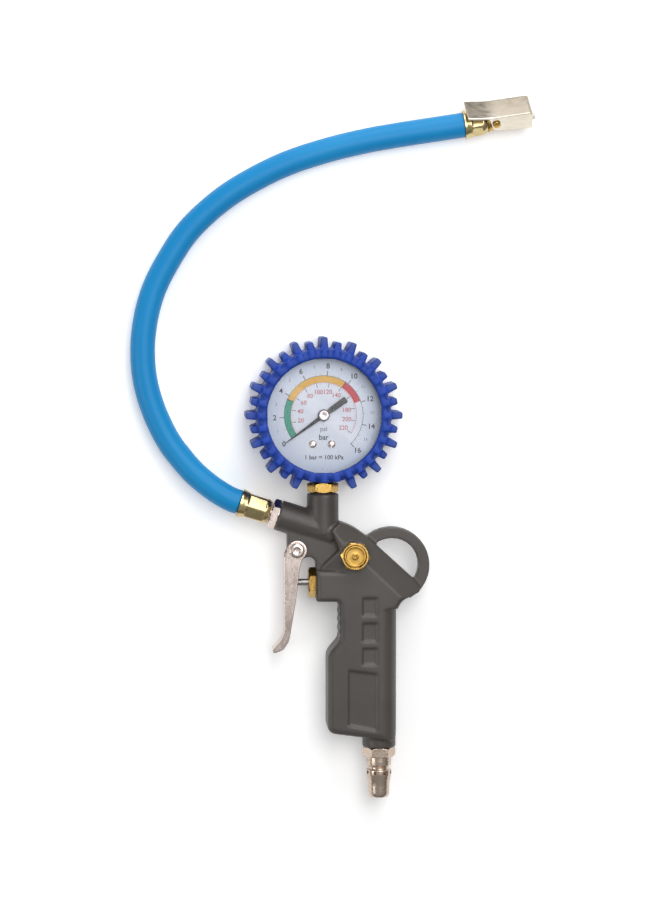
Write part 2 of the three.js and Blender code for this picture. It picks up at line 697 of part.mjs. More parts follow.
const dialFront = DIAL.back + DIAL.thick;
function dial() {
  const disc = rod(CASE.radius - CASE.wall - 0.3, vec(0, 0, DIAL.back), vec(0, 0, dialFront), RIM_SIDES);
  const through = (radius, x, y) => hole(radius, vec(x, y, DIAL.back - 1), vec(x, y, dialFront + 1), 14);
  return cut(
    disc,
    through(ARBOR + 0.5, 0, 0),
    through(DIAL_SCREWS.shank + RUN, DIAL_SCREWS.left, DIAL_SCREWS.y),
    through(DIAL_SCREWS.shank + RUN, DIAL_SCREWS.right, DIAL_SCREWS.y),
  );
}
piece("gauge_dial", dial(), DIAL_WHITE, gauge);

function dialScrew(x) {
  const foot = PLATE.front + 0.1;
  const { y } = DIAL_SCREWS;
  const slot = block(x - 3, x + 3, y - 0.25, y + 0.25, dialFront + 0.55, dialFront + 2);
  const profile = [
    [0, foot],
    [DIAL_SCREWS.shank, foot],
    [DIAL_SCREWS.shank, dialFront + TOUCH],
    [DIAL_SCREWS.head, dialFront + TOUCH],
    [DIAL_SCREWS.head, dialFront + 0.7],
    [DIAL_SCREWS.head - 0.4, dialFront + 0.95],
    [0, dialFront + 0.95],
  ];
  return cut(turned(profile, vec(x, y, 0), Z, 18), slot);
}
piece("dial_screw_left", dialScrew(DIAL_SCREWS.left), NICKEL, gauge);
piece("dial_screw_right", dialScrew(DIAL_SCREWS.right), NICKEL, gauge);

// ---------------------------------------------------------------- gauge socket and Bourdon tube
const blockBottom = -Math.sqrt((CASE.radius - CASE.wall) ** 2 - SOCKET.half ** 2) + GAP;
const blockFront = PLATE.back - TOUCH;
const blockBack = CASE.back + CASE.wall + TOUCH;

function gaugeSocket() {
  const { shank, collar, collarHigh, half, blockTop } = SOCKET;
  const inner = block(-half, half, blockBottom, blockTop, blockBack, blockFront);
  const neck = rod(shank, vec(0, collarTop - 1, 0), vec(0, blockBottom + 1, 0));
  const collarPiece = rod(collar / Math.cos(Math.PI / 6), vec(0, collarBottom, 0), vec(0, collarTop, 0), 6);
  const chamfered = turned(
    [
      [0, 0],
      [collar - 0.2, 0],
      [collar + 0.8, 0.9],
      [collar + 0.8, collarHigh - 0.8],
      [collar, collarHigh],
      [0, collarHigh],
    ],
    vec(0, collarBottom, 0),
    Y,
  );
  const threadEnd = collarBottom - SOCKET.thread;
  const thread = rod(THREAD_BORE - TOUCH, vec(0, threadEnd, 0), vec(0, collarBottom + 1, 0));
  const airway = hole(1.3, vec(0, threadEnd - 0.6, 0), vec(0, -17, 0), 10);
  const inlet = hole(1, vec(0, TUBE_START_Y, TUBE.level), vec(-half - 1, TUBE_START_Y, TUBE.level), 10);
  const drop = hole(1, vec(0, TUBE_START_Y, TUBE.level - 0.5), vec(0, TUBE_START_Y, 0), 10);
  const tapped = (x, y, z0, z1) => hole(1.05, vec(x, y, z0), vec(x, y, z1), 12);
  return cut(
    join(inner, neck, collarPiece.intersect(chamfered), thread),
    airway,
    inlet,
    drop,
    tapped(-CASE_SCREW.x, CASE_SCREW.y, blockBack - 1, blockBack + 4.2),
    tapped(CASE_SCREW.x, CASE_SCREW.y, blockBack - 1, blockBack + 4.2),
    tapped(-PLATE_SCREW.x, PLATE_SCREW.y, blockFront - 3.2, blockFront + 1),
    tapped(PLATE_SCREW.x, PLATE_SCREW.y, blockFront - 3.2, blockFront + 1),
  );
}
piece("gauge_socket", gaugeSocket(), BRASS, gauge);
const washerTop = vec(0, collarBottom - TOUCH, 0);
piece("gauge_washer", washer(THREAD_BORE, 6.2, washerTop, Y.clone().negate(), 0.45, 14), BLACK_RUBBER, gauge);

function bourdonTube() {
  const oval = (w, h, c) =>
    outline([[c - h, -w], [h - c, -w], [h, 0], [h - c, w], [c - h, w], [-h, 0]]);
  const section = oval(TUBE.width / 2, TUBE.height / 2, 0.8);
  const inside = oval(TUBE.width / 2 - TUBE.wall, TUBE.height / 2 - TUBE.wall, 0.5);
  section.holes.push(new THREE.Path(inside.getPoints()));
  const arc = new THREE.EllipseCurve(0, 0, TUBE.radius, TUBE.radius, rad(TUBE.start), rad(TUBE.end), true);
  const path = new THREE.CatmullRomCurve3(arc.getSpacedPoints(22).map((p) => vec(p.x, p.y, TUBE.level)));
  return sweep(section, path, 22);
}
piece("bourdon_tube", bourdonTube(), BRASS, gauge);

// The plug soldered in the tube's free end, with the ear that the link hangs from.
const TIP_ANGLE = TUBE.end - 6.5;
const LINK_LEVEL = 2.3;
function tubeTip() {
  const outer = TUBE.radius + TUBE.width / 2 + 0.4;
  const inner = TUBE.radius - TUBE.width / 2 - 0.4;
  const wedge = (a0, a1) => outline([polar(inner, a0), polar(outer, a0), polar(outer, a1), polar(inner, a1)]);
  const halfHeight = TUBE.height / 2;
  const body = plate(wedge(TUBE.end - 10, TUBE.end - 1), TUBE.level - halfHeight, TUBE.level + halfHeight);
  const [x, y] = polar(TUBE.radius, TIP_ANGLE);
  const ear = rod(1.8, vec(x, y, TUBE.level), vec(x, y, LINK_LEVEL - 0.3), 16);
  return cut(join(body, ear), hole(0.8, vec(x, y, 0), vec(x, y, 3), 12));
}
piece("tube_tip", tubeTip(), BRASS, gauge);

// ---------------------------------------------------------------- gauge movement
const SECTOR_PIVOT = { x: 0, y: -GEAR_CENTRES };
const PILLARS = { top: [0, 6.2], left: [-5.6, -18.6], right: [6.4, -19.4] };
const plateShape = () =>
  outline([
    [-7.2, -26.4, 1.5],
    [7.9, -26.4, 1.5],
    [7.9, -17, 2],
    [3, -11, 2],
    [2.4, 8, 2],
    [-2.4, 8, 2],
    [-3, -11, 2],
    [-7.2, -16, 2],
  ]);
const pierce = (solid, radius, x, y, z0, z1) => cut(solid, hole(radius, vec(x, y, z0), vec(x, y, z1), 12));

function movementPlate(level) {
  let sheet = plate(plateShape(), level, level + PLATE.thick);
  sheet = pierce(sheet, ARBOR + RUN, 0, 0, level - 1, level + 2);
  return pierce(sheet, ARBOR + RUN, SECTOR_PIVOT.x, SECTOR_PIVOT.y, level - 1, level + 2);
}

function backPlate() {
  const holes = [-PLATE_SCREW.x, PLATE_SCREW.x];
  return holes.reduce((sheet, x) => pierce(sheet, 1.2, x, PLATE_SCREW.y, 0, 3), movementPlate(PLATE.back));
}
piece("movement_back_plate", backPlate(), BRASS, gauge);

function frontPlate() {
  const top = DIAL.back - TOUCH;
  const posts = [DIAL_SCREWS.left, DIAL_SCREWS.right].map((x) =>
    rod(1.9, vec(x, DIAL_SCREWS.y, PLATE.front), vec(x, DIAL_SCREWS.y, top), 16),
  );
  const window = block(-4.8, 4.8, -27, -22, PLATE.front - 1, PLATE.front + 2);
  const bores = [DIAL_SCREWS.left, DIAL_SCREWS.right].map((x) => {
    const at = (z) => vec(x, DIAL_SCREWS.y, z);
    return hole(DIAL_SCREWS.shank + 0.05, at(PLATE.front - 1), at(top + 1), 18);
  });
  return cut(join(movementPlate(PLATE.front), ...posts), window, ...bores);
}
piece("movement_front_plate", frontPlate(), BRASS, gauge);

for (const [place, [x, y]] of Object.entries(PILLARS)) {
  const from = vec(x, y, PLATE.back + PLATE.thick + TOUCH);
  piece("pillar_" + place, rod(1.2, from, vec(x, y, PLATE.front - TOUCH), 14), BRASS, gauge);
}

// A screw entering along a direction, its head standing on the surface.
function screw(point, direction, head, headHeight, shank, length) {
  const at = (height) => point.clone().addScaledVector(direction, height);
  return join(rod(shank, at(-length), at(0.2), 12), rod(head, point, at(headHeight), 16));
}
for (const [place, side] of [["left", -1], ["right", 1]]) {
  const plateTop = PLATE.back + PLATE.thick + TOUCH;
  const onPlate = vec(side * PLATE_SCREW.x, PLATE_SCREW.y, plateTop);
  piece("movement_screw_" + place, screw(onPlate, Z, 1.6, 0.9, 0.95, 3.6), STEEL, gauge);
  const onCase = vec(side * CASE_SCREW.x, CASE_SCREW.y, CASE.back - TOUCH);
  piece("case_screw_" + place, screw(onCase, Z.clone().negate(), 2.2, 1.1, 0.95, 4.6), STEEL, gauge);
}

// Gear outlines: straight-flanked teeth with running clearance.
function tooth(centre, degrees, root, tip, halfPitch) {
  const steps = [[root, -1.3], [tip, -0.55], [tip, 0.55], [root, 1.3]];
  return steps.map(([radius, share]) => {
    const [x, y] = polar(radius, degrees + share * halfPitch);
    return [centre.x + x, centre.y + y];
  });
}
const pitchRadius = (teeth) => (GEAR_CENTRES * teeth) / (PINION_TEETH + SECTOR_TEETH);
const TOOTH_HALF = 0.31; // half a tooth's thickness at the pitch circle
const halfPitchAngle = (teeth) => THREE.MathUtils.radToDeg(TOOTH_HALF / pitchRadius(teeth));
const TOOTH_HEIGHT = 0.42;

function pinion() {
  const radius = pitchRadius(PINION_TEETH);
  const half = halfPitchAngle(PINION_TEETH);
  const flanks = Array.from({ length: PINION_TEETH }, (_, i) =>
    tooth({ x: 0, y: 0 }, -90 + (i * 360) / PINION_TEETH, radius - 0.55, radius + TOOTH_HEIGHT, half),
  ).flat();
  const wheel = plate(outline(flanks), GEAR_LEVEL - 0.1, GEAR_LEVEL + GEAR_THICK + 0.1);
  const arbor = rod(ARBOR, vec(0, 0, PLATE.back + TOUCH), vec(0, 0, POINTER.level + POINTER.thick), 12);
  return join(wheel, arbor);
}
piece("pinion", pinion(), BRASS, gauge);

function sectorGear() {
  const pitch = 360 / SECTOR_TEETH;
  const radius = pitchRadius(SECTOR_TEETH);
  const meshAngle = 90;
  const firstSpace = -8;
  const half = halfPitchAngle(SECTOR_TEETH);
  const angles = Array.from({ length: 9 }, (_, i) => meshAngle + (i + firstSpace + 0.5) * pitch);
  const flanks = angles.flatMap((a) => tooth(SECTOR_PIVOT, a, radius - 0.6, radius + TOOTH_HEIGHT, half));
  const hub = 2.2;
  const near = (r, a) => polar(r, a).map((v, i) => v + (i ? SECTOR_PIVOT.y : SECTOR_PIVOT.x));
  const shape = outline([near(hub, 0), ...flanks, near(hub, 125), near(hub, 180)]);
  const wheel = plate(shape, GEAR_LEVEL, gearTop);
  const hubDisc = rod(hub, sectorPoint(GEAR_LEVEL), sectorPoint(gearTop), 18);
  const shaft = rod(ARBOR, sectorPoint(PLATE.back + TOUCH), sectorPoint(PLATE.front + PLATE.thick), 12);
  const end = tailEnd();
  const tail = hull(
    ...[GEAR_LEVEL, gearTop].flatMap((z) => [
      ...ringOf(SECTOR_PIVOT.x, SECTOR_PIVOT.y, 1.4, z),
      ...ringOf(end.x, end.y, 1.3, z),
    ]),
  );
  const tailHole = hole(0.5 + RUN, vec(end.x, end.y, 2), vec(end.x, end.y, 5), 12);
  return cut(join(wheel, hubDisc, shaft, tail), tailHole);
}
const gearTop = GEAR_LEVEL + GEAR_THICK;
const sectorPoint = (z) => vec(SECTOR_PIVOT.x, SECTOR_PIVOT.y, z);
const ringOf = (x, y, radius, z) =>
  Array.from({ length: 10 }, (_, i) => polar(radius, i * 36)).map(([a, b]) => [x + a, y + b, z]);
function tailEnd() {
  const [x, y] = polar(SECTOR_TAIL.length, SECTOR_TAIL.angle);
  return { x: SECTOR_PIVOT.x + x, y: SECTOR_PIVOT.y + y };
}
piece("sector_gear", sectorGear(), BRASS, gauge);

function tubeLink() {
  const end = tailEnd();
  const [x, y] = polar(TUBE.radius, TIP_ANGLE);
  const [z0, z1] = [LINK_LEVEL, GEAR_LEVEL - 0.15];
  const eye = (px, py) => rod(1.2, vec(px, py, z0), vec(px, py, z1), 14);
  const heading = Math.atan2(y - end.y, x - end.x);
  const [nx, ny] = [-Math.sin(heading) * 0.7, Math.cos(heading) * 0.7];
  const bar = plate(
    outline([[end.x + nx, end.y + ny], [end.x - nx, end.y - ny], [x - nx, y - ny], [x + nx, y + ny]]),
    z0,
    z1,
  );
  const pin = rod(0.5, vec(end.x, end.y, z0), vec(end.x, end.y, gearTop + 0.3), 12);
  return pierce(join(eye(end.x, end.y), eye(x, y), bar, pin), 0.6, x, y, z0 - 1, z1 + 1);
}
piece("tube_link", tubeLink(), BRASS, gauge);

function hairspring() {
  const turns = 3;
  const [inner, outer] = [ARBOR + 0.5, 4.2];
  const points = Array.from({ length: turns * 12 + 1 }, (_, i) => {
    const share = i / (turns * 12);
    return vec(...polar(inner + (outer - inner) * share, share * turns * 360), 4.65);
  });
  const strip = outline([[-0.25, -0.06], [0.25, -0.06], [0.25, 0.06], [-0.25, 0.06]]);
  return sweep(strip, new THREE.CatmullRomCurve3(points), 40);
}
piece("hairspring", hairspring(), BRASS, gauge);

function pointer() {
  const angle = 216;
  const at = (radius, side, half) => {
    const [x, y] = polar(radius * side, angle);
    const [nx, ny] = polar(half, angle + 90);
    return [[x + nx, y + ny], [x - nx, y - ny]];
  };
  const [tipL, tipR] = at(POINTER.tip, 1, 0.15);
  const [neckL, neckR] = at(POINTER.hub - 0.5, 1, 0.85);
  const [tailL, tailR] = at(POINTER.tail, -1, 1.4);
  const [heelL, heelR] = at(POINTER.hub - 0.5, -1, 0.95);
  const top = POINTER.level + POINTER.thick;
  const shape = outline([neckL, heelL, tailL, tailR, heelR, neckR, tipR, tipL]);
  const blade = plate(shape, POINTER.level, top);
  const hub = rod(POINTER.hub, vec(0, 0, POINTER.level - 0.3), vec(0, 0, top + 0.2), 24);
  return cut(join(blade, hub), hole(ARBOR + 0.05, vec(0, 0, 8), vec(0, 0, 12), 12));
}
piece("pointer", pointer(), BLACK_PAINT, gauge);
const capFoot = POINTER.level + POINTER.thick + 0.2 + TOUCH;
piece("pointer_cap", rod(2.35, vec(0, 0, capFoot), vec(0, 0, capFoot + 0.4), 24), NICKEL, gauge);

// ---------------------------------------------------------------- rubber boot
// Big and small lugs alternate round the rim, apart from the place where the gauge's stem comes out.
function bootOutline() {
  const pitch = 360 / LUG.count;
  const corners = [];
  for (let i = 0; i < LUG.count; i++) {
    const angle = 90 + i * pitch;
    const fromStem = Math.abs(((angle - 270 + 540) % 360) - 180);
    const tip = bootRadius + (i % 2 ? LUG.small : LUG.big);
    const side = (radius, half) => polar(radius, angle + THREE.MathUtils.radToDeg(half / radius));
    const lug = fromStem < 1.5 * pitch ? [] : [side(tip, -LUG.tip), side(tip, LUG.tip)];
    corners.push(side(bootRadius, -LUG.base), ...lug, side(bootRadius, LUG.base));
  }
  return outline(corners);
}

function boot() {
  const shoulder = BOOT.front - BOOT.shoulder;
  const lugs = plate(bootOutline(), BOOT.back, shoulder);
  const face = turned(
    [
      [0, shoulder - 1],
      [bootRadius, shoulder - 1],
      [bootRadius, shoulder + 1],
      [bootRadius - 1.6, BOOT.front],
      [0, BOOT.front],
    ],
    vec(0, 0, 0),
    Z,
    RIM_SIDES,
  );
  const room = bezelRadius + TOUCH;
  return cut(
    join(lugs, face),
    hole(room, vec(0, 0, CASE.back - 0.2), vec(0, 0, BEZEL.front + TOUCH), RIM_SIDES),
    hole(WINDOW_RADIUS + TOUCH, vec(0, 0, 0), vec(0, 0, BOOT.front + 1), RIM_SIDES),
    hole(CASE.radius - BOOT.backLip, vec(0, 0, BOOT.back - 1), vec(0, 0, 0), RIM_SIDES),
    hole(SOCKET.shank + 0.6, vec(0, -20, 0), vec(0, -bootRadius - 10, 0)),
  );
}
piece("gauge_boot", boot(), BLUE_RUBBER, gauge);

// ---------------------------------------------------------------- inlet plug
function inletPlug() {
  const down = Y.clone().negate();
  const at = (below) => inletPoint(TOUCH + below);
  const from = at(0);
  const hexHeight = 4.7;
  const hex = rod(PLUG_HEX / Math.cos(Math.PI / 6), from, at(hexHeight), 6);
  const chamfer = turned(
    [
      [0, 0],
      [PLUG_HEX + 0.2, 0],
      [PLUG_HEX + 1, 0.6],
      [PLUG_HEX + 1, hexHeight - 0.6],
      [PLUG_HEX + 0.2, hexHeight],
      [0, hexHeight],
    ],
    from,
    down,
  );
  const nose = turned(
    [
      [0, 3],
      [5.95, 3],
      [5.95, 8.9],
      [5, 9.4],
      [5, 10.5],
      [6.05, 11],
      [6.05, 13.4],
      [5.1, 17.6],
      [5.1, 23],
      [4.3, 24.4],
      [0, 24.4],
    ],
    from,
    down,
  );
  const shank = rod(THREAD_BORE - TOUCH, at(-11.5), at(2));
  const bore = hole(PLUG_BORE, at(-13), at(30), 16);
  const drills = Array.from({ length: 4 }, (_, i) => {
    const side = vec(...polar(8, i * 45 + 22.5)).applyAxisAngle(X, Math.PI / 2);
    return hole(0.75, at(12.2).sub(side), at(12.2).add(side), 6);
  });
  return cut(join(hex.intersect(chamfer), nose, shank), bore, ...drills);
}
piece("inlet_plug", inletPlug(), YELLOW_ZINC);
piece(
  "inlet_seal",
  washer(THREAD_BORE, 6.4, inletPoint(-TOUCH), Y, 1.0, 14),
  BLACK_RUBBER,
);

// ---------------------------------------------------------------- hose fittings at the gun
// The crimped ferrule: round and flared at its mouth, pressed to a hexagon along its body.
function ferrule(length, direction, from) {
  const { mouth, neck, bore } = FERRULE;
  const round = turned(
    [
      [bore, 0],
      [mouth, 0],
      [mouth, 0.5],
      [neck + 0.75, 2.6],
      [neck + 0.65, length - 2],
      [neck, length - 0.5],
      [neck - 0.3, length],
      [bore, length],
    ],
    from,
    direction,
    24,
  );
  const at = (distance) => from.clone().addScaledVector(direction, distance);
  const flats = rod((neck + 0.12) / Math.cos(Math.PI / 6), at(1.1), at(length + 1), 6);
  const wide = rod(mouth + 1, at(-1), at(2.35));
  return round.intersect(join(flats, wide));
}

const towardsGun = hoseAxis.clone().negate();
piece("gun_ferrule", ferrule(FERRULE.length, towardsGun, hosePoint(HOSE_START - 2 * GAP)), YELLOW_ZINC);

function hoseTail() {
  const nut = rod(NUT.corners, hosePoint(GAP), hosePoint(GAP + NUT.thick), 6);
  const shank = rod(THREAD_BORE - GAP, hosePoint(-11), hosePoint(1));
  const barb = rod(BARB, hosePoint(1), hosePoint(HOSE_START - 3), 16);
  return cut(join(nut, shank, barb), hole(1.4, hosePoint(-12), hosePoint(HOSE_START), 12));
}
piece("hose_tail", hoseTail(), NICKEL);

// ---------------------------------------------------------------- hose
const hoseEnd = vec(...HOSE_ROUTE.at(-1));
const chuckAxis = vec(Math.cos(rad(CHUCK.heading)), Math.sin(rad(CHUCK.heading)), 0);
const chuckPoint = (distance) => hoseEnd.clone().addScaledVector(chuckAxis, distance);

function hose() {
  const route = new THREE.CatmullRomCurve3(HOSE_ROUTE.map(([x, y, z]) => vec(x, y, z)), false, "centripetal");
  const section = polygon(HOSE.radius, 10);
  section.holes.push(new THREE.Path(polygon(HOSE.bore, 6).getPoints()));
  const tube = sweep(section, route, HOSE.steps);
  const crimped = (point, length) =>
    cut(
      rod(HOSE.crimped, point(-1.5), point(length), 16),
      hole(HOSE.bore, point(-2), point(length + 1), 12),
    );
  const atGun = crimped((d) => hosePoint(HOSE_START - d), FERRULE.length - 0.6);
  const atChuck = crimped(chuckPoint, CHUCK.ferrule - 1.2);
  return join(tube, atGun, atChuck);
}
const hoseLine = new THREE.Group();
piece("hose", hose(), HOSE_BLUE, hoseLine);

// ---------------------------------------------------------------- clip-on chuck
// Its own frame: X along the axis from the hose to the nose, Z up through the lever's web.
const chuck = new THREE.Group();
chuck.position.copy(hoseEnd);
chuck.rotation.set(-rad(CHUCK.roll), 0, rad(CHUCK.heading), "ZYX");
const axial = (x, y = 0, z = 0) => vec(x, y, z);
const pinPoint = (y) => axial(CHUCK_PIN.x, y, CHUCK_PIN.z);

piece("chuck_ferrule", ferrule(CHUCK.ferrule - GAP, X, axial(GAP)), YELLOW_ZINC, chuck);

function chuckBody() {
  const start = CHUCK.ferrule + GAP;
  const shell = turned(
    [
      [0, start],
      [5.2, start],
      [5.2, start + 0.9],
      [CHUCK.radius, start + 1.2],
      [CHUCK.radius, CHUCK.end - 0.6],
      [CHUCK.radius - 0.4, CHUCK.end],
      [0, CHUCK.end],
    ],
    axial(0),
    X,
  );
  const saddle = block(CHUCK_PIN.x - 2.6, CHUCK_PIN.x + 2.6, -SADDLE, SADDLE, 0, CHUCK_PIN.z + 2.1);
  const barb = rod(BARB, axial(-6), axial(start + 1), 16);
  const springRoom = block(CHUCK_PIN.x - 2.3, CHUCK_PIN.x + 2.3, SADDLE, 6, 1.6, 9);
  return cut(
    cut(join(shell, barb), springRoom).add(saddle),
    hole(1.4, axial(-7), axial(CHUCK.end + 1), 12),
    hole(CHUCK.mouth, axial(CHUCK.mouthStart - 2.2), axial(CHUCK.end + 1), 24),
    hole(CHUCK_PIN.radius + TOUCH, pinPoint(-9), pinPoint(9), 16),
  );
}
piece("chuck_body", chuckBody(), BRASS, chuck);

function chuckLever() {
  const { half, sheet, top, front, rear, rise, skirt } = LEVER;
  const bend = 12.4;
  const side = (shape) => {
    const settings = { depth: 2 * half, bevelEnabled: false, curveSegments: 5 };
    const geometry = new THREE.ExtrudeGeometry(shape, settings);
    return solidOf(geometry.rotateX(Math.PI / 2).translate(0, half, 0));
  };
  const flankShape = outline([
    [rear, top + rise],
    [bend, top],
    [front - 1, top],
    [front, top - 1],
    [front, skirt, 1],
    [bend + 1.4, skirt + 1.6, 2.4],
    [bend, top - 3, 2],
    [bend - 0.6, top - sheet, 0.6],
    [rear, top + rise - sheet],
  ]);
  const inner = half - sheet;
  const inside = outline([
    [bend - 5, top - sheet - 0.02],
    [front - sheet, top - sheet],
    [front - sheet, skirt - 3],
    [bend - 5, skirt - 3],
  ]);
  const hollow = new THREE.ExtrudeGeometry(inside, { depth: 2 * inner, bevelEnabled: false });
  const jawSlot = 4.1;
  const slotTool = new THREE.BoxGeometry(3, 2 * jawSlot, 20).translate(front, 0, -10);
  return cut(
    side(flankShape),
    solidOf(hollow.rotateX(Math.PI / 2).translate(0, inner, 0)),
    solidOf(slotTool),
    hole(jawSlot, axial(front - 2), axial(front + 2), 24),
    hole(CHUCK_PIN.radius + RUN, pinPoint(-9), pinPoint(9), 16),
  );
}
piece("chuck_lever", chuckLever(), NICKEL, chuck);

function chuckPin() {
  const reach = LEVER.half + 0.3;
  const shaft = rod(CHUCK_PIN.radius - 0.05, pinPoint(-reach - 0.7), pinPoint(reach + 0.7), 16);
  const headOf = (s) => rod(CHUCK_PIN.head, pinPoint(s * reach), pinPoint(s * (reach + 0.8)), 16);
  return join(shaft, headOf(-1), headOf(1));
}
piece("chuck_pin", chuckPin(), BRASS, chuck);

const CLIP_SPRING = { coil: 1.6, wire: 0.2, turns: 3 };
piece("chuck_spring", spring(CLIP_SPRING, pinPoint(SADDLE + 0.6), Y, 1.7), STEEL, chuck);
piece(
  "chuck_seal",
  washer(NUB.radius + GAP, CHUCK.mouth - GAP, axial(CHUCK.mouthStart - 2), X, 1.8, 14),
  BLACK_RUBBER,
  chuck,
);

function valveDepressor() {
  const foot = CHUCK.mouthStart - 3.6;
  const profile = [
    [0, foot],
    [1.1, foot],
    [1.1, foot + 2],
    [NUB.radius, foot + 2.2],
    [NUB.radius, NUB.end - 0.5],
    [NUB.radius - 0.5, NUB.end],
    [0, NUB.end],
  ];
  const airHole = hole(NUB.air, axial(CHUCK.mouthStart), axial(NUB.end + 1), 12);
  return cut(turned(profile, axial(0), X, 20), airHole);
}
piece("valve_depressor", valveDepressor(), PALE_NYLON, chuck);

// ---------------------------------------------------------------- placing
// The origin is on the surface the gun lies on, under the middle of the gun without its hose and chuck.
const part = new THREE.Group();
part.add(gun, hoseLine, chuck);
const extent = new THREE.Box3();
ownPieces.forEach((mesh) => extent.expandByObject(mesh));
part.position.set(-(extent.min.x + extent.max.x) / 2, -(extent.min.y + extent.max.y) / 2, -extent.min.z);

export default part;
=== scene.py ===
"""A tyre inflator with a dial gauge: its visible pieces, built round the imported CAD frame.

Shapes are made in millimetres in the gun's own frame: X=0, Y=0 is the gauge's centre, Z=0 is the level
mid-plane of the casting, +X runs to the back of the handle and -Y down to the inlet plug. A Place turns those
millimetres into the row frame's metres.
"""
import logging
import math
from collections.abc import Callable, Sequence
from dataclasses import dataclass, field
from enum import Enum

import bmesh
import bpy
from mathutils import Matrix, Vector


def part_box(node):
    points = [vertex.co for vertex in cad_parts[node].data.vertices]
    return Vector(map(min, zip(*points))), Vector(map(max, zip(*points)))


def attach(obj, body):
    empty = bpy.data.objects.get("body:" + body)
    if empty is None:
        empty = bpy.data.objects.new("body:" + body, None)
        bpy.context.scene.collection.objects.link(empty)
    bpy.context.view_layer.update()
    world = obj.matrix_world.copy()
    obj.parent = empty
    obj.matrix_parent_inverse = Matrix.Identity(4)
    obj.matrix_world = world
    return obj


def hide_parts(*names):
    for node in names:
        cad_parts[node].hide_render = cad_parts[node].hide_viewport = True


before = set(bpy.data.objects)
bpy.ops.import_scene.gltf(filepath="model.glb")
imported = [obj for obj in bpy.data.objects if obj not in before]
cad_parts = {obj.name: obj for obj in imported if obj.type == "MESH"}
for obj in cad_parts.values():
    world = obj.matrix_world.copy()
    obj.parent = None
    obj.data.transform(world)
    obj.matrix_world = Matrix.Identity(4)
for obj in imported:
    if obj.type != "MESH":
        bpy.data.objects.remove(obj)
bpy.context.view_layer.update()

LOG = logging.getLogger("inflator")
MM = 0.001
Corner = Sequence[float]
Colour = tuple[float, float, float]


# ---------------------------------------------------------------- places
@dataclass(frozen=True)
class Place:
    """A local frame in millimetres.

    Args:
        matrix: takes a local point in millimetres to the row frame in metres.
    """

    matrix: Matrix

    def at(self, point: Corner, direction: Corner = (0, 0, 1), turn: float = 0.0) -> "Place":
        """A frame at a point of this one.

        Args:
            point: the new origin.
            direction: where the new Z points; the new Y is as near to this frame's Z as it can be, or to its
                own Y where the new Z is upright.
            turn: degrees about the new Z.

        Returns:
            The new frame.
        """
        ahead = Vector(direction).normalized()
        up = Vector((0, 0, 1)) if abs(ahead.z) < 0.9 else Vector((0, 1, 0))
        side = up.cross(ahead).normalized()
        lean = Matrix((side, ahead.cross(side), ahead)).transposed().to_4x4()
        spin = Matrix.Rotation(math.radians(turn), 4, "Z")
        return Place(self.matrix @ Matrix.Translation(Vector(point)) @ lean @ spin)

    def point(self, x: float, y: float, z: float = 0.0) -> Vector:
        """The row-frame point, in metres, of a local one."""
        return self.matrix @ Vector((x, y, z))


def gun_place() -> Place:
    """The gun's frame, found from the dial's centre and the casting's mid-height."""
    dial_low, dial_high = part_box("gauge_dial")
    cast_low, cast_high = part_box("body_casting")
    centre = (Vector(dial_low) + Vector(dial_high)) / 2
    middle = (cast_low[2] + cast_high[2]) / 2
    return Place(Matrix.Translation((centre.x, centre.y, middle)) @ Matrix.Scale(MM, 4))


GUN = gun_place()
HERE = Place(Matrix.Identity(4))
MATERIALS: dict[str, bpy.types.Material] = {}


# ---------------------------------------------------------------- finishes
def srgb(red: int, green: int, blue: int) -> Colour:
    """A colour given as 0 to 255 display values, made linear."""
    return tuple(
        (v / 255 / 12.92) if v <= 10 else ((v / 255 + 0.055) / 1.055) ** 2.4 for v in (red, green, blue)
    )


class Nodes:
    """Adds shader nodes to one material and links them."""

    def __init__(self, material: bpy.types.Material) -> None:
        """Empties the material's tree and keeps it."""
        material.use_nodes = True
        self.tree = material.node_tree
        self.tree.nodes.clear()

    def add(self, kind: str, settings: dict | None = None, **inputs: object) -> bpy.types.Node:
        """Adds one node.

        Args:
            kind: the node's type.
            settings: properties of the node itself.
            inputs: socket values by name, with _ for a space; a socket is linked instead.

        Returns:
            The node.
        """
        node = self.tree.nodes.new(kind)
        for name, value in (settings or {}).items():
            setattr(node, name, value)
        for name, value in inputs.items():
            socket = node.inputs[name.replace("_", " ")]
            if isinstance(value, bpy.types.NodeSocket):
                self.tree.links.new(value, socket)
            else:
                socket.default_value = value
        return node

    def noise(self, where: bpy.types.NodeSocket, scale: float, detail: float = 3.0) -> bpy.types.NodeSocket:
        """A noise value between 0 and 1 at the given coordinates."""
        return self.add("ShaderNodeTexNoise", Vector=where, Scale=scale, Detail=detail).outputs["Fac"]

    def between(self, value: bpy.types.NodeSocket, low: float, high: float) -> bpy.types.NodeSocket:
        """The value stretched from the middle of 0..1 to low..high."""
        node = self.add(
            "ShaderNodeMapRange", Value=value, From_Min=0.3, From_Max=0.7, To_Min=low, To_Max=high
        )
        return node.outputs["Result"]

    def mixed(self, share: object, first: object, second: object) -> bpy.types.NodeSocket:
        """A colour between two, by a share of the second."""
        node = self.add("ShaderNodeMix", {"data_type": "RGBA"})
        for index, value in ((0, share), (6, first), (7, second)):
            if isinstance(value, bpy.types.NodeSocket):
                self.tree.links.new(value, node.inputs[index])
            else:
                node.inputs[index].default_value = (*value, 1.0) if isinstance(value, tuple) else value
        return node.outputs[2]

    def show(self, shader: bpy.types.NodeSocket) -> None:
        """Makes the shader the surface."""
        self.add("ShaderNodeOutputMaterial", Surface=shader)


class Coords(Enum):
    """What a finish's pattern follows."""

    OBJECT = "Object"
    SURFACE = "UV"


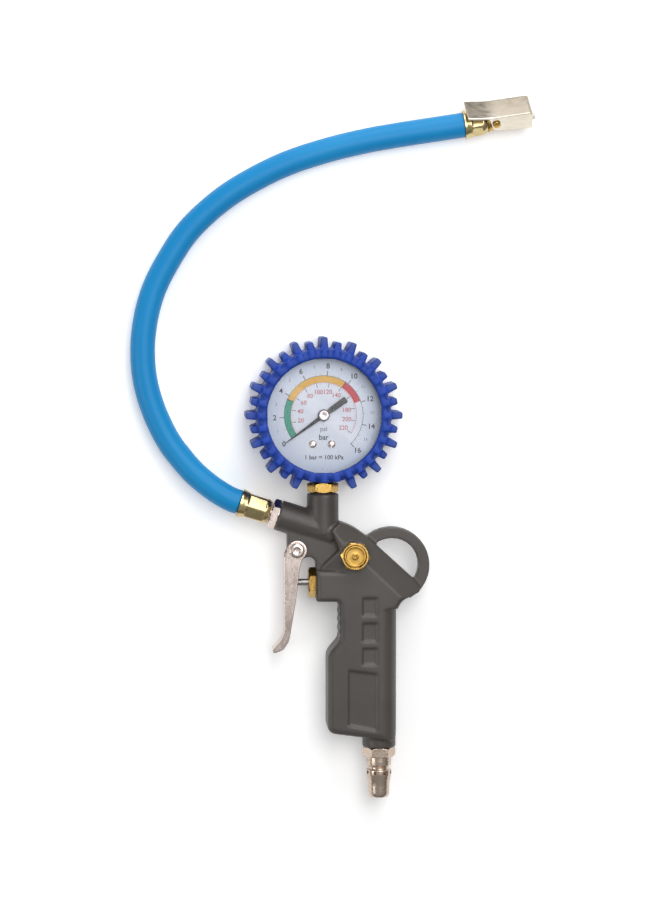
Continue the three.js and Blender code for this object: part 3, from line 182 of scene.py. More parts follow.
@dataclass(frozen=True)
class Finish:
    """A procedural finish.

    Args:
        name: the material's name.
        colour: the main colour.
        shade: the colour that blotches of it lean to.
        metallic: 0 or 1.
        rough: the lowest and highest roughness.
        blotch: how many blotches to a metre.
        grain: how many grains to a metre, for the roughness and the relief.
        relief: the grain's height in millimetres.
        stretch: how the grain is squeezed along X, Y and Z.
        worn: the colour mixed in at sharp edges, or None: rubbed paint on the casting, painted edge shade on
            the bright nickel.
        gloss: how strongly a bare surface mirrors, 0.5 being usual.
        glow: how much light it gives of itself.
        coords: what the pattern follows.
    """

    name: str
    colour: Colour
    shade: Colour
    metallic: float = 0.0
    rough: tuple[float, float] = (0.35, 0.5)
    blotch: float = 70.0
    grain: float = 1500.0
    relief: float = 0.01
    stretch: tuple[float, float, float] = (1.0, 1.0, 1.0)
    worn: Colour | None = None
    gloss: float = 0.5
    glow: float = 0.0
    coords: Coords = Coords.OBJECT

    def tint(self, nodes: Nodes, where: bpy.types.NodeSocket) -> bpy.types.NodeSocket:
        """The colour at each point: the main one, blotched, with the edge colour mixed in at sharp edges."""
        share = nodes.between(nodes.noise(where, self.blotch), 0.0, 1.0)
        colour = nodes.mixed(share, self.colour, self.shade)
        # sharp edges take the edge colour: rubbed paint on the cast body, painted edge shade on the bright
        # nickel
        if self.worn:
            edge = nodes.add("ShaderNodeNewGeometry").outputs["Pointiness"]
            wear_and_shade_share = nodes.add("ShaderNodeMapRange", Value=edge, From_Min=0.52, From_Max=0.6, To_Max=0.55)
            colour = nodes.mixed(wear_and_shade_share.outputs["Result"], colour, self.worn)
        return colour

    def material(self) -> bpy.types.Material:
        """The finish as a material, made once."""
        if self.name in MATERIALS:
            return MATERIALS[self.name]
        made = MATERIALS[self.name] = bpy.data.materials.new(self.name)
        nodes = Nodes(made)
        start = nodes.add("ShaderNodeTexCoord").outputs[self.coords.value]
        squeezed = nodes.add("ShaderNodeMapping", Vector=start, Scale=self.stretch).outputs["Vector"]
        grain = nodes.noise(squeezed, self.grain)
        bump = nodes.add("ShaderNodeBump", Height=grain, Distance=self.relief * MM, Strength=1.0)
        shader = nodes.add(
            "ShaderNodeBsdfPrincipled",
            Base_Color=self.tint(nodes, start),
            Roughness=nodes.between(grain, *self.rough),
            Normal=bump.outputs["Normal"],
            Metallic=self.metallic,
            Specular_IOR_Level=self.gloss,
            Emission_Color=(1.0, 1.0, 1.0, 1.0),
            Emission_Strength=self.glow,
        )
        nodes.show(shader.outputs["BSDF"])
        return made


@dataclass(frozen=True)
class RadialFinish(Finish):
    """A finish whose colour changes with the distance from the gauge's centre.

    Args:
        rim: the colour far out.
        reach: the distances in millimetres where the change starts and ends.
        bands: how many bands of painted shade stand round the centre, between the ribs, short of the change.
        dark: the colour of that painted shade.
    """

    rim: Colour = (1.0, 1.0, 1.0)
    reach: tuple[float, float] = (31.0, 36.5)
    bands: int = 0
    dark: Colour = (0.0, 0.0, 0.0)

    def tint(self, nodes: Nodes, where: bpy.types.NodeSocket) -> bpy.types.NodeSocket:
        """The plain tint with any painted groove shade, leaning to the rim's colour far from the gauge's
        centre.
        """
        centre = GUN.point(0, 0)
        moved = nodes.add(
            "ShaderNodeMapping", Vector=where, Location=(-centre.x, -centre.y, 0), Scale=(1, 1, 0)
        )
        far = nodes.add("ShaderNodeVectorMath", {"operation": "LENGTH"})
        nodes.tree.links.new(moved.outputs["Vector"], far.inputs[0])
        low, high = (r * MM for r in self.reach)
        share = nodes.add("ShaderNodeMapRange", Value=far.outputs["Value"], From_Min=low, From_Max=high)
        plain = super().tint(nodes, where)
        if self.bands:
            # painted shade in the grooves between the boot's ribs
            plain = nodes.mixed(self.band(nodes, moved.outputs["Vector"]), plain, self.dark)
        return nodes.mixed(share.outputs["Result"], plain, self.rim)

    def band(self, nodes: Nodes, where: bpy.types.NodeSocket) -> bpy.types.NodeSocket:
        """How much painted shade each point takes, by its angle round the gauge's centre: most between the
        ribs, none on them.
        """
        split = nodes.add("ShaderNodeSeparateXYZ", Vector=where)
        angle = nodes.add("ShaderNodeMath", {"operation": "ARCTAN2"})
        nodes.tree.links.new(split.outputs["Y"], angle.inputs[0])
        nodes.tree.links.new(split.outputs["X"], angle.inputs[1])
        turns = nodes.add("ShaderNodeMath", {"operation": "MULTIPLY"})
        turns.inputs[1].default_value = self.bands
        nodes.tree.links.new(angle.outputs[0], turns.inputs[0])
        wave = nodes.add("ShaderNodeMath", {"operation": "COSINE"})
        nodes.tree.links.new(turns.outputs[0], wave.inputs[0])
        dark = nodes.add("ShaderNodeMapRange", Value=wave.outputs[0], From_Min=0.3, From_Max=-0.3, To_Max=0.6)
        return dark.outputs["Result"]


@dataclass(frozen=True)
class ClearGlass(Finish):
    """Flat clear glass that mirrors a little and lets the rest through."""

    def material(self) -> bpy.types.Material:
        """The glass as a material, made once."""
        if self.name in MATERIALS:
            return MATERIALS[self.name]
        made = MATERIALS[self.name] = bpy.data.materials.new(self.name)
        nodes = Nodes(made)
        where = nodes.add("ShaderNodeTexCoord").outputs["Object"]
        rough = nodes.between(nodes.noise(where, self.blotch), *self.rough)
        clear = nodes.add("ShaderNodeBsdfTransparent", Color=(*self.colour, 1.0))
        mirror = nodes.add("ShaderNodeBsdfGlossy", Roughness=rough)
        share = nodes.add("ShaderNodeFresnel", IOR=1.3).outputs["Fac"]
        mix = nodes.add("ShaderNodeMixShader", Fac=share)
        nodes.tree.links.new(clear.outputs["BSDF"], mix.inputs[1])
        nodes.tree.links.new(mirror.outputs["BSDF"], mix.inputs[2])
        nodes.show(mix.outputs["Shader"])
        return made


CAST_PAINT = Finish(
    "cast_paint", srgb(74, 69, 65), srgb(68, 63, 59), 0.0, (0.36, 0.5), 55, 1100, 0.035,
    worn=srgb(112, 108, 103),
)
NICKEL = Finish(
    "nickel", srgb(222, 208, 200), srgb(202, 186, 178), 1.0, (0.2, 0.3), 60, 300, 0.0004, (3.0, 1.0, 1.0),
)
# the dark colour at its sharp edges is painted edge shade
BRIGHT_NICKEL = Finish(
    "bright_nickel", srgb(228, 220, 205), srgb(216, 206, 188), 1.0, (0.16, 0.24), 60, 300, 0.0004,
    (1.0, 3.0, 2.0),
    worn=srgb(96, 84, 72),
)
PLUG_NICKEL = Finish(
    "plug_nickel", srgb(214, 196, 180), srgb(196, 176, 158), 1.0, (0.22, 0.34), 80, 300, 0.0004,
    (1.0, 4.0, 1.0),
)
BRASS = Finish(
    "brass", srgb(214, 178, 104), srgb(190, 150, 78), 1.0, (0.2, 0.32), 80, 300, 0.0004, (3.0, 1.0, 1.0),
)
PRESSED_BRASS = Finish(
    "pressed_brass", srgb(206, 168, 92), srgb(176, 136, 66), 1.0, (0.3, 0.42), 200, 1800, 0.006,
)
YELLOW_ZINC = Finish(
    "yellow_zinc", srgb(214, 200, 146), srgb(196, 170, 128), 1.0, (0.2, 0.32), 70, 300, 0.0004,
    (1.0, 2.0, 1.0),
)
STEEL = Finish(
    "steel", srgb(172, 168, 166), srgb(140, 136, 134), 1.0, (0.22, 0.34), 80, 300, 0.0004, (1.0, 4.0, 4.0)
)
BLACK_RUBBER = Finish("black_rubber", srgb(30, 30, 31), srgb(42, 42, 43), 0.0, (0.6, 0.8), 200, 2000, 0.02)
CASE_PAINT = Finish("case_paint", srgb(34, 34, 36), srgb(26, 26, 28), 0.0, (0.3, 0.42), 90, 1600, 0.012)
# its darker bands between the ribs are painted shade
BOOT_RUBBER = RadialFinish(
    "boot_rubber", srgb(24, 68, 170), srgb(18, 54, 146), 0.0, (0.4, 0.55), 120, 1700, 0.02,
    gloss=0.3, rim=srgb(62, 82, 146), reach=(32.5, 37.5), bands=32, dark=srgb(20, 52, 134),
)
HOSE_RUBBER = Finish(
    "hose_rubber", srgb(28, 138, 196), srgb(20, 126, 186), 0.0, (0.34, 0.46), 9.0, 160, 0.012,
    (1.0, 8.0, 1.0),
    gloss=0.22, coords=Coords.SURFACE,
)
# its bluer, greyer outer part is a painted reflection of the blue boot near the rim
DIAL_ENAMEL = RadialFinish(
    "dial_enamel", srgb(232, 233, 242), srgb(224, 226, 237), 0.0, (0.34, 0.46), 60, 1500, 0.004,
    rim=srgb(206, 216, 238), reach=(17.0, 29.0),
)
INK = Finish("black_ink", srgb(52, 52, 60), srgb(66, 66, 74), 0.0, (0.4, 0.55), 300, 2500, 0.003)
FAINT_INK = Finish("faint_ink", srgb(132, 134, 144), srgb(150, 152, 160), 0.0, (0.4, 0.55), 300, 2500, 0.003)
RED_INK = Finish("red_ink", srgb(194, 106, 114), srgb(206, 124, 130), 0.0, (0.4, 0.55), 300, 2500, 0.003)
GREEN_BAND = Finish("green_band", srgb(40, 150, 122), srgb(48, 160, 132), 0.0, (0.4, 0.55), 200, 2500, 0.003)
ORANGE_BAND = Finish(
    "orange_band", srgb(232, 174, 60), srgb(240, 186, 80), 0.0, (0.4, 0.55), 200, 2500, 0.003
)
RED_BAND = Finish("red_band", srgb(204, 52, 66), srgb(214, 66, 78), 0.0, (0.4, 0.55), 200, 2500, 0.003)
POINTER_BLACK = Finish(
    "pointer_black", srgb(34, 33, 36), srgb(44, 43, 46), 0.0, (0.38, 0.5), 200, 2200, 0.006
)
POINTER_CAP = Finish(
    "pointer_cap", srgb(216, 200, 200), srgb(202, 184, 186), 1.0, (0.3, 0.42), 300, 900, 0.01
)
LENS = ClearGlass("lens_glass", (0.98, 0.99, 1.0), (1.0, 1.0, 1.0), 0.0, (0.02, 0.05), 60)
NYLON = Finish("pale_nylon", srgb(238, 234, 226), srgb(228, 224, 214), 0.0, (0.35, 0.5), 200, 1800, 0.01)


# ---------------------------------------------------------------- shapes
def rounded(corners: Sequence[Corner], closed: bool, steps: int = 4) -> list[tuple[float, float]]:
    """Rounds an outline's corners.

    Args:
        corners: x, y and, if it is rounded, the length taken off each side.
        closed: whether the last corner joins the first.
        steps: points to a rounded corner, less one.

    Returns:
        The outline's points.
    """
    points = []
    for index, corner in enumerate(corners):
        here = Vector(corner[:2])
        if len(corner) < 3 or (not closed and index in (0, len(corners) - 1)):
            points.append(tuple(here))
            continue
        before, after = (Vector(corners[(index + s) % len(corners)][:2]) - here for s in (-1, 1))
        first, last = (here + side.normalized() * corner[2] for side in (before, after))
        for step in range(steps + 1):
            t = step / steps
            points.append(tuple(first * (1 - t) ** 2 + here * 2 * t * (1 - t) + last * t**2))
    return points


def polar(radius: float, degrees: float) -> tuple[float, float]:
    """The x and y of a point at an angle."""
    return radius * math.cos(math.radians(degrees)), radius * math.sin(math.radians(degrees))


class How(Enum):
    """How a tool changes a solid."""

    CUT = "DIFFERENCE"
    ADD = "UNION"


class Solid:
    """A closed shape being made, in a local frame's millimetres."""

    def __init__(self, mesh: bpy.types.Mesh) -> None:
        """Wraps a mesh."""
        self.mesh = mesh

    @classmethod
    def of(cls, shape: bmesh.types.BMesh) -> "Solid":
        """The solid of a finished bmesh, with its faces turned outwards."""
        bmesh.ops.remove_doubles(shape, verts=shape.verts, dist=1e-5)
        bmesh.ops.recalc_face_normals(shape, faces=shape.faces)
        mesh = bpy.data.meshes.new("solid")
        shape.to_mesh(mesh)
        shape.free()
        return cls(mesh)

    @classmethod
    def skin(cls, rings: Sequence[Sequence[Corner]], closed: bool = False) -> "Solid":
        """A solid through rings of points.

        Args:
            rings: the rings in order; one point alone is a pole.
            closed: whether the last ring joins the first.

        Returns:
            The solid, its open ends capped.
        """
        shape = bmesh.new()
        made = [[shape.verts.new(point) for point in ring] for ring in rings]
        pairs = list(zip(made, made[1:])) + ([(made[-1], made[0])] if closed else [])
        for low, high in pairs:
            count = max(len(low), len(high))
            for i in range(count):
                j = (i + 1) % count
                corners = [low[i % len(low)], low[j % len(low)], high[j % len(high)], high[i % len(high)]]
                face = list(dict.fromkeys(corners))
                if len(face) > 2:
                    shape.faces.new(face)
        if not closed:
            for ring in (made[0], made[-1]):
                if len(ring) > 2:
                    shape.faces.new(ring)
        return cls.of(shape)

    @classmethod
    def lathe(cls, profile: Sequence[Corner], sides: int = 96, steps: int = 4) -> "Solid":
        """A solid turned about Z.

        Args:
            profile: corners of radius, height and rounding. From axis to axis, or else it is a closed ring.
            sides: how many sides it has round.
            steps: points to a rounded corner, less one.

        Returns:
            The solid.
        """
        ring = profile[0][0] > 0
        angles = [360 * i / sides for i in range(sides)]
        rings = [
            [(*polar(r, a), z) for a in angles] if r > 1e-6 else [(0, 0, z)]
            for r, z in rounded(profile, ring, steps)
        ]
        return cls.skin(rings, ring)

    @classmethod
    def polar(
        cls, radius: Callable[[float, float], float], heights: Sequence[float], bore: float = 0.0,
        sides: int = 144
    ) -> "Solid":
        """A solid whose radius follows a rule.

        Args:
            radius: gives the radius from height and angle in degrees.
            heights: the stations, in order.
            bore: the radius of a plain bore, or 0.
            sides: how many sides it has round.

        Returns:
            The solid.
        """
        angles = [360 * i / sides for i in range(sides)]
        rings = [[(*polar(radius(h, a), a), h) for a in angles] for h in heights]
        if bore:
            inner = [[(*polar(bore, a), h) for a in angles] for h in (heights[-1], heights[0])]
            return cls.skin(rings + inner, True)
        return cls.skin([[(0, 0, heights[0])], *rings, [(0, 0, heights[-1])]])

    @classmethod
    def hexagon(
        cls, flat: float, thick: float, face: float, ends: Sequence[float], turn: float = 0.0
    ) -> "Solid":
        """A hexagonal prism on Z=0, its corners turned down at some of its ends.

        Args:
            flat: half the size across its flats.
            thick: its height.
            face: the radius of a turned-down end.
            ends: the heights of those ends.
            turn: the angle in degrees of one flat.

        Returns:
            The prism.
        """
        slope, steps = 1.5, 5
        deep = (flat / math.cos(math.radians(30)) - face) / slope
        heights = {0.0, thick}
        for end in ends:
            heights.update(abs(end - deep * i / steps) for i in range(1, steps + 1))

        def radius(height: float, angle: float) -> float:
            """The flats' radius, or the turned one if it is smaller."""
            away = (angle - turn + 30) % 60 - 30
            turned = face + slope * min(abs(height - end) for end in ends)
            return min(flat / math.cos(math.radians(away)), turned)

        return cls.polar(radius, sorted(heights))

    @classmethod
    def prism(
        cls, corners: Sequence[Corner], low: float, high: float, bevel: float = 0.0, steps: int = 4
    ) -> "Solid":
        """A flat solid between two heights.

        Args:
            corners: the outline's corners.
            low: the lower height.
            high: the upper height.
            bevel: how much the rims are rounded.
            steps: points to a rounded corner, less one.

        Returns:
            The solid.
        """
        outline = rounded(corners, True, steps)
        solid = cls.skin([[(x, y, z) for x, y in outline] for z in (low, high)])
        if bevel:
            shape = bmesh.new()
            shape.from_mesh(solid.mesh)
            rims = [e for e in shape.edges if abs(e.verts[0].co.z - e.verts[1].co.z) < 1e-6]
            bmesh.ops.bevel(shape, geom=rims, offset=bevel, segments=3, profile=0.5, affect="EDGES")
            solid = cls.of(shape)
        return solid

    @classmethod
    def node(cls, name: str) -> "Solid":
        """A merged copy of a CAD node, in the gun's millimetres."""
        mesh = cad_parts[name].data.copy()
        mesh.transform(GUN.matrix.inverted())
        shape = bmesh.new()
        shape.from_mesh(mesh)
        bmesh.ops.remove_doubles(shape, verts=shape.verts, dist=1e-3)
        mesh.materials.clear()
        shape.to_mesh(mesh)
        shape.free()
        return cls(mesh)

    def placed(self, place: Place) -> "Solid":
        """Moves it by a place whose matrix stays in millimetres."""
        self.mesh.transform(place.matrix)
        return self

    def changed(self, *modifiers: tuple[str, dict]) -> "Solid":
        """Applies modifiers.

        Args:
            modifiers: each one's type and settings.

        Returns:
            The changed solid.
        """
        holder = bpy.data.objects.new("holder", self.mesh)
        bpy.context.scene.collection.objects.link(holder)
        for kind, settings in modifiers:
            modifier = holder.modifiers.new(kind, kind)
            for name, value in settings.items():
                setattr(modifier, name, value)
        view = bpy.context.evaluated_depsgraph_get()
        self.mesh = bpy.data.meshes.new_from_object(holder.evaluated_get(view), depsgraph=view)
        bpy.data.objects.remove(holder)
        return self

    def worked(self, how: How, *tools: "Solid") -> "Solid":
        """Cuts, adds or keeps what other solids hold."""
        for tool in tools:
            holder = bpy.data.objects.new("tool", tool.mesh)
            bpy.context.scene.collection.objects.link(holder)
            self.changed(("BOOLEAN", {"operation": how.value, "solver": "EXACT", "object": holder}))
            bpy.data.objects.remove(holder)
        return self

    def beside(self, *others: "Solid") -> "Solid":
        """Puts other solids in the same mesh as they are."""
        shape = bmesh.new()
        for solid in (self, *others):
            shape.from_mesh(solid.mesh)
        mesh = bpy.data.meshes.new("solid")
        shape.to_mesh(mesh)
        shape.free()
        self.mesh = mesh
        return self

    def softened(self, voxel: float, rounds: int) -> "Solid":
        """Fuses it into one skin with softened edges.

        Args:
            voxel: the skin's cell in millimetres.
            rounds: how many times it is smoothed.

        Returns:
            The softened solid.
        """
        remesh = {"mode": "VOXEL", "voxel_size": voxel}
        return self.changed(("REMESH", remesh), ("SMOOTH", {"factor": 0.5, "iterations": rounds}))

    def repeated(
        self, count: int, first: float = 0.0, step: float = 0.0, shift: Corner = (0, 0, 0)
    ) -> "Solid":
        """Repeats it about Z or along a line with Geometry Nodes.

        Args:
            count: how many there are.
            first: the first one's turn about Z in degrees.
            step: each next one's further turn.
            shift: each next one's further move.

        Returns:
            All of them in one solid.
        """
        tree, sockets = Repeater.tree()
        values = (count, math.radians(first), math.radians(step), tuple(shift))
        inputs = {sockets[name]: value for name, value in zip(Repeater.NAMES, values)}
        holder = bpy.data.objects.new("holder", self.mesh)
        bpy.context.scene.collection.objects.link(holder)
        modifier = holder.modifiers.new("repeat", "NODES")
        modifier.node_group = tree
        for identifier, value in inputs.items():
            modifier[identifier] = value
        view = bpy.context.evaluated_depsgraph_get()
        self.mesh = bpy.data.meshes.new_from_object(holder.evaluated_get(view), depsgraph=view)
        self.mesh.materials.clear()
        bpy.data.objects.remove(holder)
        return self

    def piece(
        self, name: str, place: Place, finish: Finish, body: str = "gun", replaces: Sequence[str] = (),
        sharp: float = 32.0,
    ) -> bpy.types.Object:
        """Makes it a finished piece.

        Args:
            name: the piece's name.
            place: the frame it was made in.
            finish: its finish.
            body: the CAD body it rides on.
            replaces: the CAD nodes it stands for.
            sharp: the angle in degrees over which an edge is drawn sharp.

        Returns:
            The object.
        """
        mesh = self.mesh
        mesh.transform(place.matrix)
        mesh.name = name
        mesh.materials.clear()
        mesh.materials.append(finish.material())
        mesh.shade_smooth()
        mesh.set_sharp_from_angle(angle=math.radians(sharp))
        made = bpy.data.objects.new(name, mesh)
        bpy.context.scene.collection.objects.link(made)
        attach(made, body)
        if replaces:
            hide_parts(*replaces)
        LOG.info("%s: %d faces on %s", name, len(mesh.polygons), body)
        return made


class Repeater:
    """The node tree that repeats a mesh about Z or along a line."""

    NAMES = ("Count", "First turn", "Turn step", "Shift step")
    KINDS = ("NodeSocketInt", "NodeSocketFloat", "NodeSocketFloat", "NodeSocketVector")
    made: tuple[bpy.types.NodeTree, dict[str, str]] | None = None

    @classmethod
    def tree(cls) -> tuple[bpy.types.NodeTree, dict[str, str]]:
        """The tree and its inputs' identifiers by name, made once."""
        if cls.made is None:
            cls.made = cls.build()
        return cls.made

    @classmethod
    def build(cls) -> tuple[bpy.types.NodeTree, dict[str, str]]:
        """Builds the tree."""
        tree = bpy.data.node_groups.new("repeater", "GeometryNodeTree")
        tree.interface.new_socket("Shape", in_out="INPUT", socket_type="NodeSocketGeometry")
        sockets = {
            name: tree.interface.new_socket(name, in_out="INPUT", socket_type=kind).identifier
            for name, kind in zip(cls.NAMES, cls.KINDS)
        }
        tree.interface.new_socket("Shape", in_out="OUTPUT", socket_type="NodeSocketGeometry")
        new, link = tree.nodes.new, tree.links.new
        given, result = new("NodeGroupInput"), new("NodeGroupOutput")
        points, index = new("GeometryNodePoints"), new("GeometryNodeInputIndex")
        link(given.outputs["Count"], points.inputs["Count"])
        turn = new("ShaderNodeMath")
        turn.operation = "MULTIPLY_ADD"
        link(index.outputs[0], turn.inputs[0])
        link(given.outputs["Turn step"], turn.inputs[1])
        link(given.outputs["First turn"], turn.inputs[2])
        about = new("ShaderNodeCombineXYZ")
        link(turn.outputs[0], about.inputs["Z"])
        shift = new("ShaderNodeVectorMath")
        shift.operation = "SCALE"
        link(given.outputs["Shift step"], shift.inputs[0])
        link(index.outputs[0], shift.inputs["Scale"])
        spread = new("GeometryNodeSetPosition")
        link(points.outputs[0], spread.inputs["Geometry"])
        link(shift.outputs[0], spread.inputs["Position"])
        copies = new("GeometryNodeInstanceOnPoints")
        link(spread.outputs[0], copies.inputs["Points"])
        link(given.outputs["Shape"], copies.inputs["Instance"])
        link(about.outputs[0], copies.inputs["Rotation"])
        real, dressed = new("GeometryNodeRealizeInstances"), new("GeometryNodeSetMaterial")
        link(copies.outputs[0], real.inputs[0])
        link(real.outputs[0], dressed.inputs["Geometry"])
        link(dressed.outputs[0], result.inputs[0])
        return tree, sockets


# ---------------------------------------------------------------- studio
@dataclass
class Studio:
    """The camera, the soft lights and the plain floor."""

    aim: Corner = (3.5, -17.1, 0.0)
    towards: Corner = (-0.06, 0.06, 1.0)
    distance: float = 1300.0
    seen_height: float = 432.0
    sky: float = 0.34
    horizon: float = 0.06

    def build(self) -> None:
        """Makes everything the object is seen with."""
        bpy.context.scene.view_settings.view_transform = "Standard"
        self.camera()
        self.floor()
        self.light("key", (200, 240, 900), 700, 5.6)
        self.light("rear", (120, 900, 420), 640, 5.0)
        self.light("side", (-820, -160, 520), 420, 1.9)
        self.surroundings()

    def surroundings(self) -> None:
        """A pale sky that darkens towards the horizon, so that metal has something dark to mirror."""
        world = bpy.data.worlds.new("studio")
        world.use_nodes = True
        tree = world.node_tree
        where = tree.nodes.new("ShaderNodeTexCoord")
        split = tree.nodes.new("ShaderNodeSeparateXYZ")
        strength = tree.nodes.new("ShaderNodeMapRange")
        for name, value in (
            ("From Min", 0.05), ("From Max", 0.6), ("To Min", self.horizon), ("To Max", self.sky)
        ):
            strength.inputs[name].default_value = value
        sky = tree.nodes["Background"]
        sky.inputs["Color"].default_value = (1.0, 1.0, 1.0, 1.0)
        tree.links.new(where.outputs["Generated"], split.inputs[0])
        tree.links.new(split.outputs["Z"], strength.inputs["Value"])
        tree.links.new(strength.outputs["Result"], sky.inputs["Strength"])
        bpy.context.scene.world = world

    def camera(self) -> None:
        """A long-lens camera over the object, leaning a little to its upper left."""
        data = bpy.data.cameras.new("camera")
        camera = bpy.data.objects.new("camera", data)
        bpy.context.scene.collection.objects.link(camera)
        back = Vector(self.towards).normalized()
        right = Vector((0, 1, 0)).cross(back).normalized()
        turn = Matrix((right, back.cross(right), back)).transposed().to_4x4()
        camera.matrix_world = Matrix.Translation(GUN.point(*self.aim) + back * self.distance * MM) @ turn
        data.sensor_width = 36.0
        data.lens = data.sensor_width * self.distance / self.seen_height
        data.clip_start, data.clip_end = 0.05, 20.0
        bpy.context.scene.camera = camera

    def floor(self) -> None:
        """A plain pale sheet under everything."""
        half = 3000.0
        corners = [(-half, -half), (half, -half), (half, half), (-half, half)]
        mesh = Solid.prism(corners, -2.0, 0.0).mesh
        mesh.transform(Matrix.Scale(MM, 4))
        paper = Finish(
            "floor_paper", srgb(250, 250, 250), srgb(246, 246, 246), 0.0, (0.8, 0.9), 3, 600, 0.01, glow=0.22
        )
        mesh.materials.append(paper.material())
        floor = bpy.data.objects.new("floor", mesh)
        bpy.context.scene.collection.objects.link(floor)

    def light(self, name: str, spot: Corner, size: float, power: float) -> None:
        """A square soft light aimed at the object.

        Args:
            name: the light's name.
            spot: where it stands.
            size: its side.
            power: its power in watts.
        """
        data = bpy.data.lights.new(name, "AREA")
        data.size, data.energy = size * MM, power
        made = bpy.data.objects.new(name, data)
        made.location = GUN.point(*spot)
        made.rotation_euler = (made.location - GUN.point(*self.aim)).to_track_quat("Z", "Y").to_euler()
        bpy.context.scene.collection.objects.link(made)


# ---------------------------------------------------------------- hose
@dataclass
class Hose:
    """The air hose, from the gun's ferrule in one long bend to the chuck."""

    radius: float = 5.95
    crimped: float = 4.75
    inside: float = 6.0
    sides: int = 40
    steps: int = 14
    route: tuple[Corner, ...] = (
        (-40.4, -41.9, 0),
        (-44.2, -40.5, -0.1),
        (-51.8, -36.0, -1.0),
        (-61.2, -28.4, -2.8),
        (-68.6, -20.0, -4.2),
        (-73.9, -12.7, -4.9),
        (-80.8, 1.7, -5),
        (-84.9, 16.1, -5),
        (-86.1, 30.5, -5),
        (-84.7, 44.9, -5),
        (-80.8, 59.3, -5),
        (-73.6, 73.7, -5),
        (-63.8, 88.1, -5),
        (-48.2, 102.5, -5),
        (-34.0, 111.6, -5),
        (-17.2, 119.8, -5),
        (2, 126.2, -5),
        (21.2, 130.9, -5),
        (40.4, 134.3, -4.8),
        (54, 136.4, -4.4),
        (67.7, 138.5, -4.1),
    )

    def line(self) -> list[Vector]:
        """Points close together along the centripetal curve through the route."""
        route = [Vector(p) for p in self.route]
        spots = [2 * route[0] - route[1], *route, 2 * route[-1] - route[-2]]
        line = []
        for a, b, c, d in zip(spots, spots[1:], spots[2:], spots[3:]):
            ta, tb = 0.0, (b - a).length ** 0.5
            tc = tb + (c - b).length ** 0.5
            td = tc + (d - c).length ** 0.5
            for step in range(self.steps):
                t = tb + (tc - tb) * step / self.steps
                ab, bc, cd = (
                    (q * (t - tp) + p * (tq - t)) / (tq - tp)
                    for p, q, tp, tq in ((a, b, ta, tb), (b, c, tb, tc), (c, d, tc, td))
                )
                abc = (bc * (t - ta) + ab * (tc - t)) / (tc - ta)
                bcd = (cd * (t - tb) + bc * (td - t)) / (td - tb)
                line.append((bcd * (t - tb) + abc * (tc - t)) / (tc - tb))
        return [*line, route[-1]]

    def build(self, fittings: Sequence[bpy.types.Object]) -> None:
        """Args:
            fittings: the pieces on its far end; not used.
        """
        line = self.line()
        first, last = (line[0] - line[1]).normalized(), (line[-1] - line[-2]).normalized()
        ends = ((0.3, self.radius - 0.25), (0.6, self.crimped), (self.inside, self.crimped))
        stations = [(line[0] + first * far, thick) for far, thick in reversed(ends)]
        stations += [(point, self.radius) for point in line]
        stations += [(line[-1] + last * far, thick) for far, thick in ends]
        across = Vector((0, 0, 1))
        rings, along = [], [0.0]
        for index, (point, thick) in enumerate(stations):
            before, after = stations[max(index - 1, 0)][0], stations[min(index + 1, len(stations) - 1)][0]
            forward = (after - before).normalized()
            side = forward.cross(across).normalized()
            across = side.cross(forward).normalized()
            turns = [2 * math.pi * i / self.sides for i in range(self.sides)]
            rings.append([point + (side * math.cos(a) + across * math.sin(a)) * thick for a in turns])
            along.append(along[-1] + (point - before).length)
        solid = Solid.skin(rings)
        self.unwrap(solid.mesh, along[1:])
        hose = solid.piece("air_hose", GUN, HOSE_RUBBER, replaces=["hose"])

    def unwrap(self, mesh: bpy.types.Mesh, along: Sequence[float]) -> None:
        """Gives the skin UVs in metres: U round it, V along it.

        Args:
            mesh: the hose's mesh, its points ring by ring.
            along: each ring's distance along the hose in millimetres.
        """
        layer = mesh.uv_layers.new(name="run")
        around = 2 * math.pi * self.radius
        for face in mesh.polygons:
            spots = [mesh.loops[i].vertex_index for i in face.loop_indices]
            wraps = max(s % self.sides for s in spots) - min(s % self.sides for s in spots) > self.sides / 2
            for loop, spot in zip(face.loop_indices, spots):
                share = spot % self.sides + (self.sides if wraps and spot % self.sides == 0 else 0)
                run = along[min(spot // self.sides, len(along) - 1)]
                layer.data[loop].uv = (share / self.sides * around * MM, run * MM)


